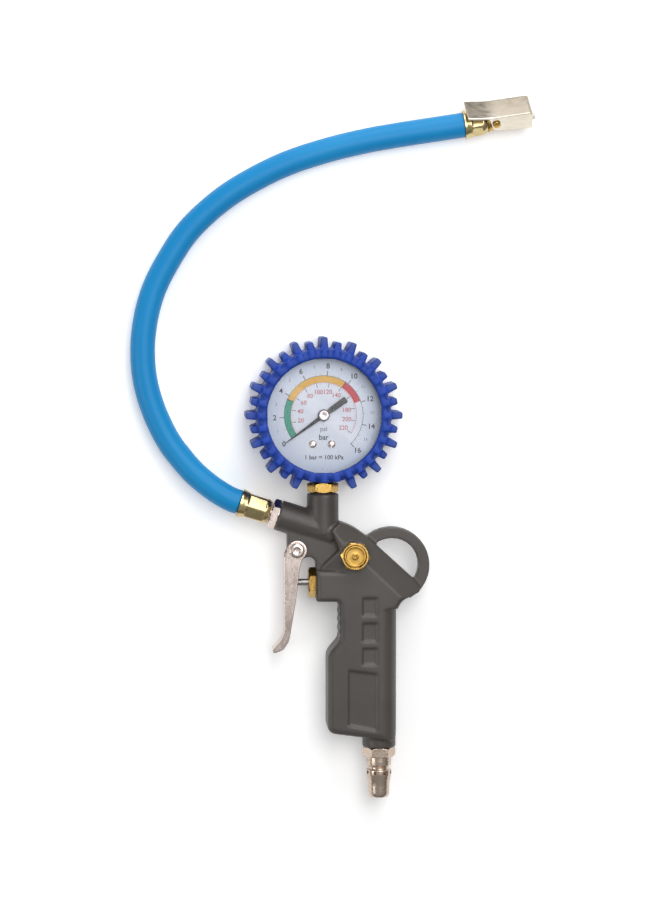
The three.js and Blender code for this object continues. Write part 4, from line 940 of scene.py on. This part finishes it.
# ---------------------------------------------------------------- casting
@dataclass
class Casting:
    """The painted die-cast body."""

    voxel: float = 0.5
    rounds: int = 4
    boss_radius: float = 7.6
    hose_boss: tuple[float, float, float] = (7.45, -21.4, -48.2)
    slope: float = 18.0
    inlet: tuple[float, float, float] = (8.05, 27.2, -160.6)
    pivot: tuple[float, float] = (-12.7, -64.9)
    ring: tuple[float, float, float, float] = (33.0, -72.4, 13.0, 18.3)

    def hose_axis(self) -> Vector:
        """The hose boss's outward axis."""
        return Vector((-math.cos(math.radians(self.slope)), math.sin(math.radians(self.slope)), 0))

    def bosses(self) -> list[Solid]:
        """The finely round bosses that the casting's own are replaced by."""
        radius, x, y = self.hose_boss
        start = Vector((x, y, 0)) - self.hose_axis() * 16
        hose = Solid.lathe(
            [(0, 0), (radius, 0), (radius, 16, 0.9), (0, 16)]
        ).placed(HERE.at(start, self.hose_axis()))
        gauge = Solid.lathe([(0, 0), (self.boss_radius, 0), (self.boss_radius, 17, 1.0), (0, 17)])
        gauge.placed(HERE.at((0, -55, 0), (0, 1, 0)))
        radius, x, y = self.inlet
        inlet = Solid.lathe(
            [(0, 0), (radius, 0), (radius, 12, 0.9), (0, 12)]
        ).placed(HERE.at((x, y + 12, 0), (0, -1, 0)))
        lug = Solid.lathe([(0, -5.5), (4.6, -5.5), (4.6, 5.5), (0, 5.5)]).placed(HERE.at((*self.pivot, 0)))
        return [hose, gauge, inlet, lug, self.hanger()]

    def hanger(self) -> Solid:
        """The hanging ring's round bar."""
        x, y, inner, outer = self.ring
        middle, half, count = (inner + outer) / 2, (outer - inner) / 2, 60
        section = rounded([(-half, -4, 1.2), (half, -4, 1.2), (half, 4, 1.2), (-half, 4, 1.2)], True)
        rings = []
        for index in range(count + 1):
            along = polar(1, -60 + 211 * index / count)
            rings.append([(x + along[0] * (middle + r), y + along[1] * (middle + r), z) for r, z in section])
        return Solid.skin(rings)

    def build(self) -> None:
        """Makes the casting with its cast fillets."""
        body = Solid.node("body_casting").beside(*self.bosses()).softened(self.voxel, self.rounds)
        body.piece("body_casting_painted", GUN, CAST_PAINT, replaces=["body_casting"], sharp=180)


# ---------------------------------------------------------------- trigger
@dataclass
class Trigger:
    """The pressed trigger, folded from one plate, and its rivet."""

    pivot: tuple[float, float] = (-12.7, -64.9)
    head: float = 4.8
    web: float = -18.7
    sheet: float = 1.2
    cheek: float = 5.9
    voxel: float = 0.24
    rivet_radius: float = 3.6

    def channel(self) -> Solid:
        """The folded plate with its curled toe."""
        outer, (x, y) = self.cheek + self.sheet, self.pivot
        side = [
            (self.web, -68.4, 1),
            (self.web, -106.4, 4),
            (-24.6, -112.9, 0.6),
            (-23.8, -114.3, 0.6),
            (-19.4, -112.9, 2),
            (-16.4, -108.2, 2),
            (-13, -87.6, 3),
            (-11.2, -71.8, 3),
            (x + self.head, y),
            (x - self.head, y),
        ]
        inner = self.web + self.sheet
        room = [
            (inner, -128.4), (inner, -68.4), (self.web - 3, -68.4), (self.web - 3, -56.4), (0, -56.4),
            (0, -128.4)
        ]
        toe = [(inner, -107.9, 2.5), (-23.4, -113.1), (-21, -130), (inner, -130)]
        round_head = Solid.lathe([(0, -outer), (self.head, -outer), (self.head, outer), (0, outer)])
        solid = Solid.prism(side, -outer, outer, steps=8).worked(
            How.ADD, round_head.placed(HERE.at((x, y, 0)))
        )
        tools = [Solid.prism(shape, -self.cheek, self.cheek, steps=8) for shape in (room, toe)]
        return solid.worked(How.CUT, *tools)

    def rivet(self) -> Solid:
        """The rivet with a domed, dimpled head on each side."""
        face = self.cheek + self.sheet + 0.05
        r = self.rivet_radius
        half = [(0, 0.7), (1.3, 0.72, 0.4), (1.9, 1.05, 0.3), (r - 0.35, 0.85, 0.5), (r, 0.0)]
        top = [(radius, face + rise, *rest) for radius, rise, *rest in half]
        bottom = [(radius, -height, *rest) for radius, height, *rest in reversed(top)]
        return Solid.lathe([*top, (1.45, face), (1.45, -face), *bottom])

    def build(self) -> None:
        """Makes the trigger and the rivet."""
        self.channel().softened(self.voxel, 3).piece(
            "trigger_plate", GUN, NICKEL, "trigger", ["trigger"], sharp=180
        )
        self.rivet().piece("trigger_rivet_head", GUN.at((*self.pivot, 0)), NICKEL, replaces=["trigger_rivet"])


# ---------------------------------------------------------------- valves
@dataclass
class MainValve:
    """The brass gland in the valve block and the push stem in it."""

    height: float = -80.8
    foot: float = -3.6
    tip: float = -7.0
    flat: float = 6.32
    stem: float = 1.7
    stem_tip: float = -17.1

    def build(self) -> None:
        """Makes the gland and the stem."""
        deep = self.foot - self.tip
        hexagonal = Solid.hexagon(self.flat, deep, 6.3, [deep], 30)
        hexagonal.worked(
            How.CUT, Solid.lathe([(0, deep - 0.7), (3.4, deep - 0.7), (3.4, deep + 1), (0, deep + 1)])
        )
        shank = Solid.lathe([(0, -7.5), (5.1, -7.5), (5.1, 0.2), (0, 0.2)])
        ring = Solid.lathe([(1.85, deep - 1), (3.3, deep - 1), (3.3, deep - 0.2, 0.3), (1.85, deep - 0.35)])
        bore = Solid.lathe([(0, -9), (1.85, -9), (1.85, deep + 1), (0, deep + 1)])
        gland = hexagonal.worked(How.ADD, shank).worked(How.CUT, bore).beside(ring)
        place = GUN.at((self.foot, self.height, 0), (-1, 0, 0))
        gland.piece("valve_gland_brass", place, BRASS, replaces=["valve_gland"])
        long = 13.4 - self.stem_tip
        profile = [
            (0, 0), (self.stem, 0.0, 0.7), (self.stem, long), (4.2, long, 0.2), (4.2, long + 1.8, 0.3),
            (2.2, long + 1.8), (2.2, long + 5.8, 0.4), (0, long + 5.8),
        ]
        stem = Solid.lathe(profile, 48)
        stem.piece(
            "valve_stem_steel", GUN.at((self.stem_tip, self.height, 0), (1, 0, 0)), STEEL, "valve",
            ["valve_stem"]
        )


@dataclass
class BleedValve:
    """The brass bleed valve on the casting's side."""

    spot: tuple[float, float] = (14.7, -67.1)
    foot: float = 11.1
    top: float = 15.4
    flat: float = 6.32
    button: float = 5.2
    turn: float = 23.0

    def build(self) -> None:
        """Makes the housing and the button."""
        deep = self.top - self.foot
        housing = Solid.hexagon(self.flat, deep, 6.2, [deep])
        housing.worked(How.ADD, Solid.lathe([(0, -8.5), (4.4, -8.5), (4.4, 0.2), (0, 0.2)]))
        well = Solid.lathe(
            [(0, 0.5), (5.35, 0.5), (5.35, deep - 0.3), (5.65, deep + 0.01), (5.65, 6), (0, 6)]
        )
        bore = Solid.lathe([(0, -9), (1.75, -9), (1.75, 1), (0, 1)], 48)
        housing.worked(How.CUT, well, bore)
        place = GUN.at((*self.spot, self.foot), turn=self.turn)
        housing.piece("bleed_housing_brass", place, BRASS, replaces=["bleed_housing"])
        rise = self.top - 0.5
        profile = [
            (0, 0.7), (3.4, 0.7), (3.4, 1.6, 0.2), (1.6, 1.6), (1.6, rise - 1.1),
            (self.button, rise - 1.1, 0.1),
            (self.button, rise, 0.3), (4.35, rise, 0.2), (4.1, rise - 0.35, 0.2), (1.5, rise - 0.35, 0.3),
            (1.2, rise + 0.05, 0.2), (0.75, rise + 0.05, 0.2), (0.5, rise - 0.5, 0.2), (0, rise - 0.6),
        ]
        button = Solid.lathe(profile, 72)
        button.piece("bleed_button_brass", GUN.at((*self.spot, 0)), PRESSED_BRASS, "bleed", ["bleed_button"])


# ---------------------------------------------------------------- gauge
@dataclass
class GaugeShell:
    """The gauge's case, bezel, glass and brass stem."""

    case: float = 29.4
    window: float = 27.2
    bezel: float = 30.2
    front: float = 15.2

    def build(self) -> None:
        """Makes the shell's pieces."""
        back, rim = -9.5, 12.2
        cup = [
            (0, back + 0.35), (19, back + 0.35, 0.5), (20, back, 0.5), (self.case, back, 1.6),
            (self.case, rim),
            (self.case - 0.8, rim), (self.case - 0.8, back + 0.8, 1.0), (0, back + 0.8),
        ]
        neck = Solid.lathe([(0, 25), (5.15, 25), (5.15, 32), (0, 32)]).placed(HERE.at((0, 0, 0), (0, -1, 0)))
        screw_hole = Solid.lathe([(0, back - 1), (1.4, back - 1), (1.4, back + 2), (0, back + 2)], 32)
        holes = [Solid(screw_hole.mesh.copy()).placed(HERE.at((x, -19.5, 0))) for x in (-3.4, 3.4)]
        shell = Solid.lathe(cup, 128).worked(How.CUT, neck, *holes)
        shell.piece("gauge_case_steel", GUN, CASE_PAINT, replaces=["gauge_case"])
        skirt, lip = self.case + 0.1, 14.5
        ring = [
            (skirt, 7), (self.bezel, 7, 0.2), (self.bezel, self.front, 0.5),
            (self.window + 0.7, self.front, 0.3),
            (self.window, lip + 0.25, 0.2), (self.window, lip), (skirt, lip),
        ]
        Solid.lathe(ring, 160).piece("gauge_bezel_ring", GUN, BRIGHT_NICKEL, replaces=["gauge_bezel"])
        pane = [(0, 13), (29.15, 13, 0.1), (29.15, 14.4, 0.1), (0, 14.4)]
        Solid.lathe(pane, 128).piece("gauge_lens_pane", GUN, LENS, replaces=["gauge_lens"])
        self.stem()

    def stem(self) -> None:
        """Makes the brass stem with its hexagonal collar."""
        high = 4.8
        collar = Solid.hexagon(6.5, high, 6.4, [0.0, high], 30).placed(HERE.at((0, -37.4, 0), (0, 1, 0)))
        rod = [
            (0, -47.4), (5.1, -47.4), (5.1, -37.3), (6.1, -37.3), (6.1, -37.0), (5.0, -37.0), (5.0, -28),
            (0, -28)
        ]
        neck = Solid.lathe([(r, z + 47.4) for r, z in rod]).placed(HERE.at((0, -47.4, 0), (0, 1, 0)))
        inner = Solid.prism([(-5.5, -28), (5.5, -28), (5.5, -12), (-5.5, -12)], -8.6, 1.0, 0.3)
        collar.beside(neck, inner).piece("gauge_stem_brass", GUN, BRASS, replaces=["gauge_socket"])


@dataclass
class Dial:
    """The white dial with its two scales, and what is screwed and pressed on it."""

    radius: float = 28.3
    back: float = 7.4
    front: float = 7.9
    ink: float = 0.035
    zero: float = 216.0
    per_bar: float = -16.4
    full: float = 16.0
    psi_to_bar: float = 0.0689476
    screws: tuple[Corner, ...] = ((-5.2, -13.8), (3.8, -13.8))

    def angle(self, bar: float) -> float:
        """The angle in degrees of a pressure."""
        return self.zero + self.per_bar * bar

    def band(self, inner: float, outer: float, start: float, end: float) -> Solid:
        """A printed arc.

        Args:
            inner: its inner radius.
            outer: its outer radius.
            start: the pressure where it starts.
            end: the pressure where it ends.

        Returns:
            The arc, as thick as the ink.
        """
        a, b = self.angle(start), self.angle(end)
        count = max(4, round(abs(b - a) / 2))
        turns = [a + (b - a) * i / count for i in range(count + 1)]
        corners = [polar(outer, t) for t in turns] + [polar(inner, t) for t in reversed(turns)]
        return Solid.prism(corners, self.front - 0.1, self.front + self.ink)

    def ticks(self, inner: float, outer: float, width: float, first: float, step: float, count: int) -> Solid:
        """Evenly spaced tick marks.

        Args:
            inner: where a tick starts.
            outer: where it ends.
            width: its width.
            first: the first one's pressure.
            step: the pressure from one to the next.
            count: how many there are.

        Returns:
            The ticks.
        """
        half = width / 2
        corners = [(inner, -half), (outer, -half), (outer, half), (inner, half)]
        mark = Solid.prism(corners, self.front - 0.1, self.front + self.ink * 1.6)
        return mark.repeated(count, self.angle(first), self.per_bar * step)

    def lettering(self, words: Sequence[tuple[str, float, float, float]]) -> Solid:
        """Printed words.

        Args:
            words: each one's text, x, y and height.

        Returns:
            The words.
        """
        made = []
        for text, x, y, size in words:
            data = bpy.data.curves.new("word", "FONT")
            data.body, data.size, data.align_x, data.align_y = text, size, "CENTER", "CENTER"
            data.extrude, data.offset, data.resolution_u = 0.06, 0.02 * size, 3
            holder = bpy.data.objects.new("word", data)
            bpy.context.scene.collection.objects.link(holder)
            view = bpy.context.evaluated_depsgraph_get()
            mesh = bpy.data.meshes.new_from_object(holder.evaluated_get(view), depsgraph=view)
            bpy.data.objects.remove(holder)
            made.append(Solid(mesh).placed(HERE.at((x, y, self.front - 0.02))))
        return made[0].beside(*made[1:])

    def figures(self, radius: float, size: float, values: Sequence[tuple[str, float]]) -> list:
        """Numbers placed round a scale: their text with x, y and height."""
        return [(text, *polar(radius, self.angle(bar)), size) for text, bar in values]

    def build(self) -> None:
        """Makes the dial, its print and screws."""
        disc = [
            (0, self.back), (self.radius, self.back, 0.1), (self.radius, self.front, 0.1), (0, self.front)
        ]
        hole = Solid.lathe(
            [(0, self.back - 1), (1.25, self.back - 1), (1.25, self.front + 1), (0, self.front + 1)], 32
        )
        holes = [Solid(hole.mesh.copy()).placed(HERE.at((x, y, 0))) for x, y in ((0, 0), *self.screws)]
        plate = Solid.lathe(disc, 128).worked(How.CUT, *holes)
        plate.piece("gauge_dial_plate", GUN, DIAL_ENAMEL, replaces=["gauge_dial"])
        self.print_bands()
        self.print_scales()
        self.fasteners()

    def print_bands(self) -> None:
        """Makes the coloured arcs."""
        low, middle, high = 3.66, 9.72, 11.88
        arcs = (
            ("band_green", GREEN_BAND, 0.0, low), ("band_orange", ORANGE_BAND, low, middle),
            ("band_red", RED_BAND, middle, high),
        )
        for name, finish, start, end in arcs:
            self.dress(self.band(15.8, 18.8, start, end), name, finish)

    def print_scales(self) -> None:
        """Makes the tick marks, lines and numbers."""
        fine = self.ticks(18.8, 19.6, 0.12, 0, 0.5, 33)
        bars = self.ticks(18.7, 21.1, 0.34, 0, 2, 9).beside(self.band(18.75, 18.95, 0, self.full))
        bars.beside(self.band(15.55, 15.8, 3.62, 3.7), self.ticks(15.8, 19.4, 0.3, 3.66, 6.06, 2))
        even = [(str(bar), float(bar)) for bar in range(0, 17, 2)]
        words = [("bar", 0.0, -10.6, 3.5), ("1 bar = 100 kPa", 0.1, -20.2, 2.9)]
        self.dress(bars.beside(self.lettering(self.figures(23.4, 3.5, even) + words)), "print_black", INK)
        odd = [(str(bar), float(bar)) for bar in range(1, 16, 2)]
        units = [("psi", 0.0, -6.6, 3.2), ("1", -0.6, -25.6, 1.2)]
        faint = fine.beside(
            self.ticks(18.8, 20.2, 0.16, 1, 2, 8), self.lettering(self.figures(23.2, 1.9, odd) + units)
        )
        self.dress(faint, "print_grey", FAINT_INK)
        psi = self.psi_to_bar
        minor = self.ticks(14.7, 15.75, 0.16, 0, 4 * psi, 56).beside(self.band(15.62, 15.8, 0, 220 * psi))
        minor.beside(self.ticks(13.9, 15.75, 0.18, 0, 20 * psi, 12))
        numbers = [(str(v), v * psi) for v in range(20, 221, 20)]
        self.dress(minor.beside(self.lettering(self.figures(11.2, 2.9, numbers))), "print_red", RED_INK)
        major = self.ticks(13.5, 15.5, 0.3, 20 * psi, 20 * psi, 11)
        self.dress(major, "print_psi_marks", INK)

    def dress(self, solid: Solid, name: str, finish: Finish) -> None:
        """Makes a printed piece of the dial, with its own finish."""
        made = solid.piece(name, GUN, finish)

    def fasteners(self) -> None:
        """Makes the two slotted screws."""
        for (x, y), node, turn in zip(self.screws, ("dial_screw_left", "dial_screw_right"), (35, 80)):
            foot = 5.4
            low = self.front - foot + 0.05
            profile = [
                (0, 0), (1, 0), (1, low), (1.8, low), (1.8, low + 0.55, 0.25), (1.2, low + 0.9, 0.4),
                (0, low + 0.95)
            ]
            slot = Solid.prism([(-3, -0.22), (3, -0.22), (3, 0.22), (-3, 0.22)], low + 0.5, low + 2)
            screw = Solid.lathe(profile, 48).worked(How.CUT, slot)
            screw.piece(f"{node}_head", GUN.at((x, y, foot), turn=turn), NICKEL, replaces=[node])


@dataclass
class Pointer:
    """The black pointer and the cap on its hub."""

    tip: float = 22.7
    tail: float = 13.2
    hub: float = 2.8
    level: float = 9.0
    heading: float = 216.0

    def build(self) -> None:
        """Makes the pointer along X and turns it to its heading."""
        blade = [
            (self.tip, -0.12), (self.tip, 0.12), (1.5, 0.95), (-3, 0.95, 0.6), (-4.2, 1.35, 0.6),
            (-self.tail, 1.45, 0.5),
            (-self.tail, -1.45, 0.5), (-4.2, -1.35, 0.6), (-3, -0.95, 0.6), (1.5, -0.95),
        ]
        solid = Solid.prism(blade, 0, 0.6, 0.1)
        disc = [(0, -0.3), (self.hub, -0.3), (self.hub, 0.8, 0.3), (2.45, 0.8), (2.45, 0.7), (0, 0.7)]
        place = GUN.at((0, 0, self.level), turn=self.heading)
        solid.beside(Solid.lathe(disc, 64)).piece(
            "pointer_blade", place, POINTER_BLACK, "pointer", ["pointer"]
        )
        cap = [(0, 0.85), (2.35, 0.85), (2.35, 1.25, 0.2), (1.9, 1.3, 0.2), (0.5, 1.2), (0, 1.05)]
        Solid.lathe(cap, 64).piece("pointer_cap_disc", place, POINTER_CAP, "pointer", ["pointer_cap"])


@dataclass
class Boot:
    """The rubber boot with its ring of lugs."""

    radius: float = 32.0
    back: float = -11.0
    front: float = 17.0
    lip: float = 27.0
    big: float = 37.4
    small: float = 35.5
    pitch: float = 11.25
    voxel: float = 0.5

    def lug(self, tip: float, count: int, first: float) -> Solid:
        """Tapered lugs round the rim, every second pitch.

        Args:
            tip: how far they reach from the centre.
            count: how many there are.
            first: the first one's angle.

        Returns:
            The lugs.
        """
        corners = [(31, -2.15), (tip, -1.55, 0.6), (tip, 1.55, 0.6), (31, 2.15)]
        return Solid.prism(corners, self.back, self.front - 3.5, 0.5).repeated(count, first, 2 * self.pitch)

    def ribs(self) -> Solid:
        """The low ribs across the front ring, one behind each lug."""
        corners = [
            (self.lip + 0.9, -1.35), (self.radius - 0.1, -1.5), (self.radius - 0.1, 1.5),
            (self.lip + 0.9, 1.35)
        ]
        rib = Solid.prism(corners, self.front - 3.0, self.front + 0.1, 0.2)
        return rib.repeated(32, 90, self.pitch)

    def ring(self) -> Solid:
        """The boot's round wall and its front and back lips."""
        return Solid.lathe(
            [
                (24, self.back), (self.radius, self.back, 1.2), (self.radius, 14.0, 0.8),
                (self.radius - 1.8, 16.6, 1.2),
                (self.lip + 0.5, 16.7, 0.5), (self.lip, 15.5), (30.3, 15.4), (30.3, -9.7), (24, -9.7),
            ],
            160,
        )

    def build(self) -> None:
        """Makes the boot as one soft skin."""
        lugs = self.lug(self.big, 15, 270 + 2 * self.pitch), self.lug(self.small, 14, 270 + 3 * self.pitch)
        neck = Solid.lathe(
            [(0, 22), (5.6, 22), (5.6, 40), (0, 40)], 64
        ).placed(HERE.at((0, 0, 0), (0, -1, 0)))
        skin = self.ring().beside(*lugs, self.ribs()).softened(self.voxel, 3).worked(How.CUT, neck)
        skin.piece("gauge_boot_rubber", GUN, BOOT_RUBBER, replaces=["gauge_boot"], sharp=70)


# ---------------------------------------------------------------- inlet
@dataclass
class InletPlug:
    """The quick-connect plug in the bottom of the handle."""

    spot: tuple[float, float] = (27.2, -160.7)
    flat: float = 6.9
    hex_height: float = 4.7

    def build(self) -> None:
        """Makes the plug."""
        high = self.hex_height
        head = Solid.hexagon(self.flat, high, 6.8, [0.0, high], 30)
        nose = [
            (5.1, -11.5), (5.1, 0.1), (5.9, 0.1), (5.95, 8.9, 0.4), (5.0, 9.4, 0.3), (5.0, 10.5, 0.3),
            (6.05, 11.0, 0.3), (6.05, 13.4, 0.8), (5.1, 17.6, 1.6), (5.1, 23.0, 0.8), (4.3, 24.4, 0.3),
            (2.9, 24.4, 0.3),
            (2.5, 24.0, 0.2), (2.5, -11.0),
        ]
        tube = Solid.lathe(nose, 96)
        drill = Solid.lathe(
            [(0, 2.5), (0.85, 2.5), (0.85, 8), (0, 8)], 24
        ).placed(HERE.at((0, 0, 12.2), (1, 0, 0)))
        groove = Solid.lathe([(5.7, 6.1), (7, 6.1), (7, 6.5), (5.7, 6.5)])
        bore = Solid.lathe([(0, -13), (5.0, -13), (5.0, 5), (0, 5)])
        head.worked(How.CUT, bore)
        tube.worked(How.CUT, groove, drill.repeated(8, 22.5, 45))
        tube.beside(head).piece(
            "inlet_plug_nickel", GUN.at((*self.spot, 0), (0, -1, 0)), PLUG_NICKEL, replaces=["inlet_plug"]
        )


# ---------------------------------------------------------------- hose fittings
@dataclass
class Ferrule:
    """A sleeve crimped on the hose: flared at its mouth, pressed to six flats along its body."""

    length: float
    mouth: float = 6.85
    neck: float = 5.55
    bore: float = 5.05

    def outside(self, height: float, angle: float) -> float:
        """The outer radius at a distance from the mouth and an angle."""
        curve = rounded(
            [
                (self.mouth, 0), (self.mouth, 0.9, 0.3), (self.neck + 0.8, 3.0, 1.0),
                (self.neck + 0.65, self.length - 2.0, 1.2), (self.neck - 0.3, self.length - 0.2, 0.4),
                (self.neck - 0.6, self.length),
            ],
            False,
        )
        plain = curve[-1][0]
        for (r0, h0), (r1, h1) in zip(curve, curve[1:]):
            if h0 <= height <= h1:
                plain = r0 + (r1 - r0) * (height - h0) / max(h1 - h0, 1e-9)
                break
        away = (angle + 30) % 60 - 30
        flat = (self.neck + 0.12) / math.cos(math.radians(away))
        start, end = 3.2, self.length - 2.2
        press = min(1.0, max(0.0, (height - start) / 0.9), max(0.0, (end - height) / 0.9))
        press = press * press * (3 - 2 * press)
        return plain - press * max(0.0, plain - flat)

    def build(self, name: str, place: Place, node: str) -> bpy.types.Object:
        """Makes the sleeve.

        Args:
            name: the piece's name.
            place: its mouth, with Z towards the hose's end.
            node: the CAD node it stands for.

        Returns:
            The piece.
        """
        count = 56
        heights = [self.length * i / count for i in range(count + 1)]
        sleeve = Solid.polar(self.outside, heights, self.bore, 180)
        return sleeve.piece(name, place, YELLOW_ZINC, replaces=[node])


@dataclass
class GunEnd:
    """The nut and the ferrule where the hose leaves the gun."""

    casting: Casting
    corners: float = 7.2
    thick: float = 3.4
    start: float = 20.0

    def build(self) -> None:
        """Makes the nut with its barb, and the ferrule."""
        _, x, y = self.casting.hose_boss
        axis = self.casting.hose_axis()
        base = Vector((x, y, 0))
        place = GUN.at(base + axis * 0.3, axis)
        flat, thick = self.corners * math.cos(math.radians(30)), self.thick
        nut = Solid.hexagon(flat, thick, 6.3, [thick], 30)
        tail = [
            (0, -11), (4.9, -11), (4.9, -0.1), (6.4, -0.1), (6.4, 0.1), (2.3, 3), (2.3, 16.5, 0.3), (0, 16.5)
        ]
        nut.beside(Solid.lathe(tail)).piece("hose_tail_nut", place, NICKEL, replaces=["hose_tail"])
        mouth = GUN.at(base + axis * (self.start - 0.6), -axis)
        Ferrule(15.2).build("gun_ferrule_zinc", mouth, "gun_ferrule")


# ---------------------------------------------------------------- chuck
@dataclass
class Chuck:
    """The clip-on tyre chuck. Its own frame has X along its axis and Z up through the lever's web."""

    hose: Hose
    heading: float = 8.5
    roll: float = 40.0
    pin: tuple[float, float] = (15.2, 3.6)
    half: float = 5.85
    sheet: float = 0.9
    voxel: float = 0.2
    made: list[bpy.types.Object] = field(default_factory=list)

    def place(self) -> Place:
        """The chuck's frame."""
        turn = Matrix.Rotation(
            math.radians(self.heading), 4, "Z"
        ) @ Matrix.Rotation(-math.radians(self.roll), 4, "X")
        return Place(GUN.matrix @ Matrix.Translation(Vector(self.hose.route[-1])) @ turn)

    def build(self) -> list[bpy.types.Object]:
        """Makes the chuck's pieces and returns them."""
        place = self.place()
        along = place.at((0, 0, 0), (1, 0, 0))
        self.made.append(
            Ferrule(11.1).build("chuck_ferrule_zinc", place.at((0.3, 0, 0), (1, 0, 0)), "chuck_ferrule")
        )
        self.made.append(self.body().piece("chuck_body_brass", place, BRASS, replaces=["chuck_body"]))
        lever = self.lever().softened(self.voxel, 4)
        self.made.append(
            lever.piece("chuck_lever_clip", place, BRIGHT_NICKEL, "clip", ["chuck_lever"], sharp=180)
        )
        self.made.append(
            self.cross_pin().piece("chuck_pin_brass", place, PRESSED_BRASS, replaces=["chuck_pin"])
        )
        nub = [
            (0, 20.4), (1.1, 20.4), (1.1, 22.4), (2.2, 22.6, 0.3), (2.2, 34.8, 0.5), (1.1, 34.8, 0.2),
            (0.9, 34.0), (0.9, 26), (0, 26),
        ]
        self.made.append(
            Solid.lathe(nub, 64).piece("valve_depressor_nub", along, NYLON, replaces=["valve_depressor"])
        )
        return self.made + [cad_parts[name] for name in ("chuck_spring", "chuck_seal")]

    def body(self) -> Solid:
        """The turned body with its saddle, bores and barb."""
        x, z = self.pin
        along = HERE.at((0, 0, 0), (1, 0, 0))
        outer = [
            (0, 11.7), (5.2, 11.7, 0.2), (5.2, 12.6, 0.2), (4.7, 12.9, 0.2), (4.7, 29.4, 0.1), (4.45, 29.6),
            (4.45, 30.0),
            (4.7, 30.2, 0.1), (4.7, 31.5, 0.4), (0, 31.5),
        ]
        shell = Solid.lathe(outer).placed(along)
        barb = Solid.lathe([(0, -6), (2.3, -6, 0.3), (2.3, 12.7), (0, 12.7)], 48).placed(along)
        saddle = Solid.prism(
            [(x - 2.6, -2.2), (x + 2.6, -2.2), (x + 2.6, 2.2), (x - 2.6, 2.2)], 0, z + 2.1, 0.3
        )
        room = Solid.prism([(x - 2.3, 2.2), (x + 2.3, 2.2), (x + 2.3, 6), (x - 2.3, 6)], 1.6, 9)
        air = Solid.lathe([(0, -7), (1.4, -7), (1.4, 33), (0, 33)], 32).placed(along)
        mouth = Solid.lathe(
            [(0, 21.8), (3.95, 21.8), (3.95, 31.2), (4.3, 31.6), (4.3, 33), (0, 33)], 72
        ).placed(along)
        cross = Solid.lathe([(0, -9), (1.2, -9), (1.2, 9), (0, 9)], 32).placed(HERE.at((x, 0, z), (0, 1, 0)))
        return shell.worked(How.ADD, barb).worked(How.CUT, room).worked(How.ADD, saddle).worked(
            How.CUT, air, mouth, cross
        )

    def lever(self) -> Solid:
        """The folded lever: a flat web, two flanks and a slotted jaw."""
        rear, bend, front, top, rise, skirt = 1.4, 12.4, 32.7, 8.0, 2.0, -2.6
        flank = [
            (rear, top + rise, 0.3), (bend, top, 3), (front - 1, top), (front, top - 1), (front, skirt, 1),
            (bend + 1.4, skirt + 1.6, 2.0), (bend, top - 3, 1.2), (bend - 0.6, top - self.sheet, 0.4),
            (rear, top + rise - self.sheet, 0.3),
        ]
        inner = self.half - self.sheet
        room = [
            (bend - 5, top - self.sheet - 0.02), (front - self.sheet, top - self.sheet),
            (front - self.sheet, skirt - 3), (bend - 5, skirt - 3)
        ]
        stand = HERE.at((0, 0, 0), (0, -1, 0))
        solid = Solid.prism(flank, -self.half, self.half, steps=8).placed(stand)
        hollow = Solid.prism(room, -inner, inner).placed(stand)
        slot = 4.1
        gap = Solid.prism(
            [(front - 1.6, -slot), (front + 1.6, -slot), (front + 1.6, slot), (front - 1.6, slot)], -20, 0
        )
        eye = Solid.lathe(
            [(0, front - 2), (slot, front - 2), (slot, front + 2), (0, front + 2)]
        ).placed(HERE.at((0, 0, 0), (1, 0, 0)))
        x, z = self.pin
        cross = Solid.lathe(
            [(0, -9), (1.25, -9), (1.25, 9), (0, 9)], 32
        ).placed(HERE.at((x, 0, z), (0, 1, 0)))
        return solid.worked(How.CUT, hollow, gap, eye, cross)

    def cross_pin(self) -> Solid:
        """The pin with a domed head on each side."""
        x, z = self.pin
        reach = self.half + 0.25
        head = [(1.9, reach), (1.9, reach + 0.7, 0.4), (0, reach + 0.95)]
        tail = [(0, -reach - 0.95), (1.9, -reach - 0.7, 0.4), (1.9, -reach)]
        return Solid.lathe(
            [*tail, (1.05, -reach), (1.05, reach), *head], 48
        ).placed(HERE.at((x, 0, z), (0, 1, 0)))


# ---------------------------------------------------------------- the inner works
INNER_FINISHES = {
    BRASS: (
        "valve_seat", "bourdon_tube", "tube_tip", "movement_back_plate", "movement_front_plate", "pillar_top",
        "pillar_left", "pillar_right", "pinion", "sector_gear", "tube_link", "hairspring",
    ),
    STEEL: (
        "valve_spring", "bleed_spring", "movement_screw_left", "movement_screw_right", "case_screw_left",
        "case_screw_right", "chuck_spring",
    ),
    BLACK_RUBBER: (
        "stem_seal", "poppet_seal", "bleed_seal", "lens_gasket", "gauge_washer", "inlet_seal", "chuck_seal",
    ),
}


def dress_inner_works() -> None:
    """Gives the CAD pieces that stay as they are their finishes."""
    for finish, nodes in INNER_FINISHES.items():
        for node in nodes:
            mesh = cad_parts[node].data
            mesh.materials.clear()
            mesh.materials.append(finish.material())
            LOG.info("%s: kept, %s", node, finish.name)


def main() -> None:
    """Builds the studio and every piece, in order."""
    logging.basicConfig(level=logging.INFO, format="%(name)s: %(message)s")
    Studio().build()
    hose = Hose()
    hose.build(Chuck(hose).build())
    casting = Casting()
    for part in (
        casting, Trigger(), MainValve(), BleedValve(), GaugeShell(), Dial(), Pointer(), Boot(), InletPlug(),
        GunEnd(casting),
    ):
        part.build()
    dress_inner_works()


if __name__ == "__main__":
    main()
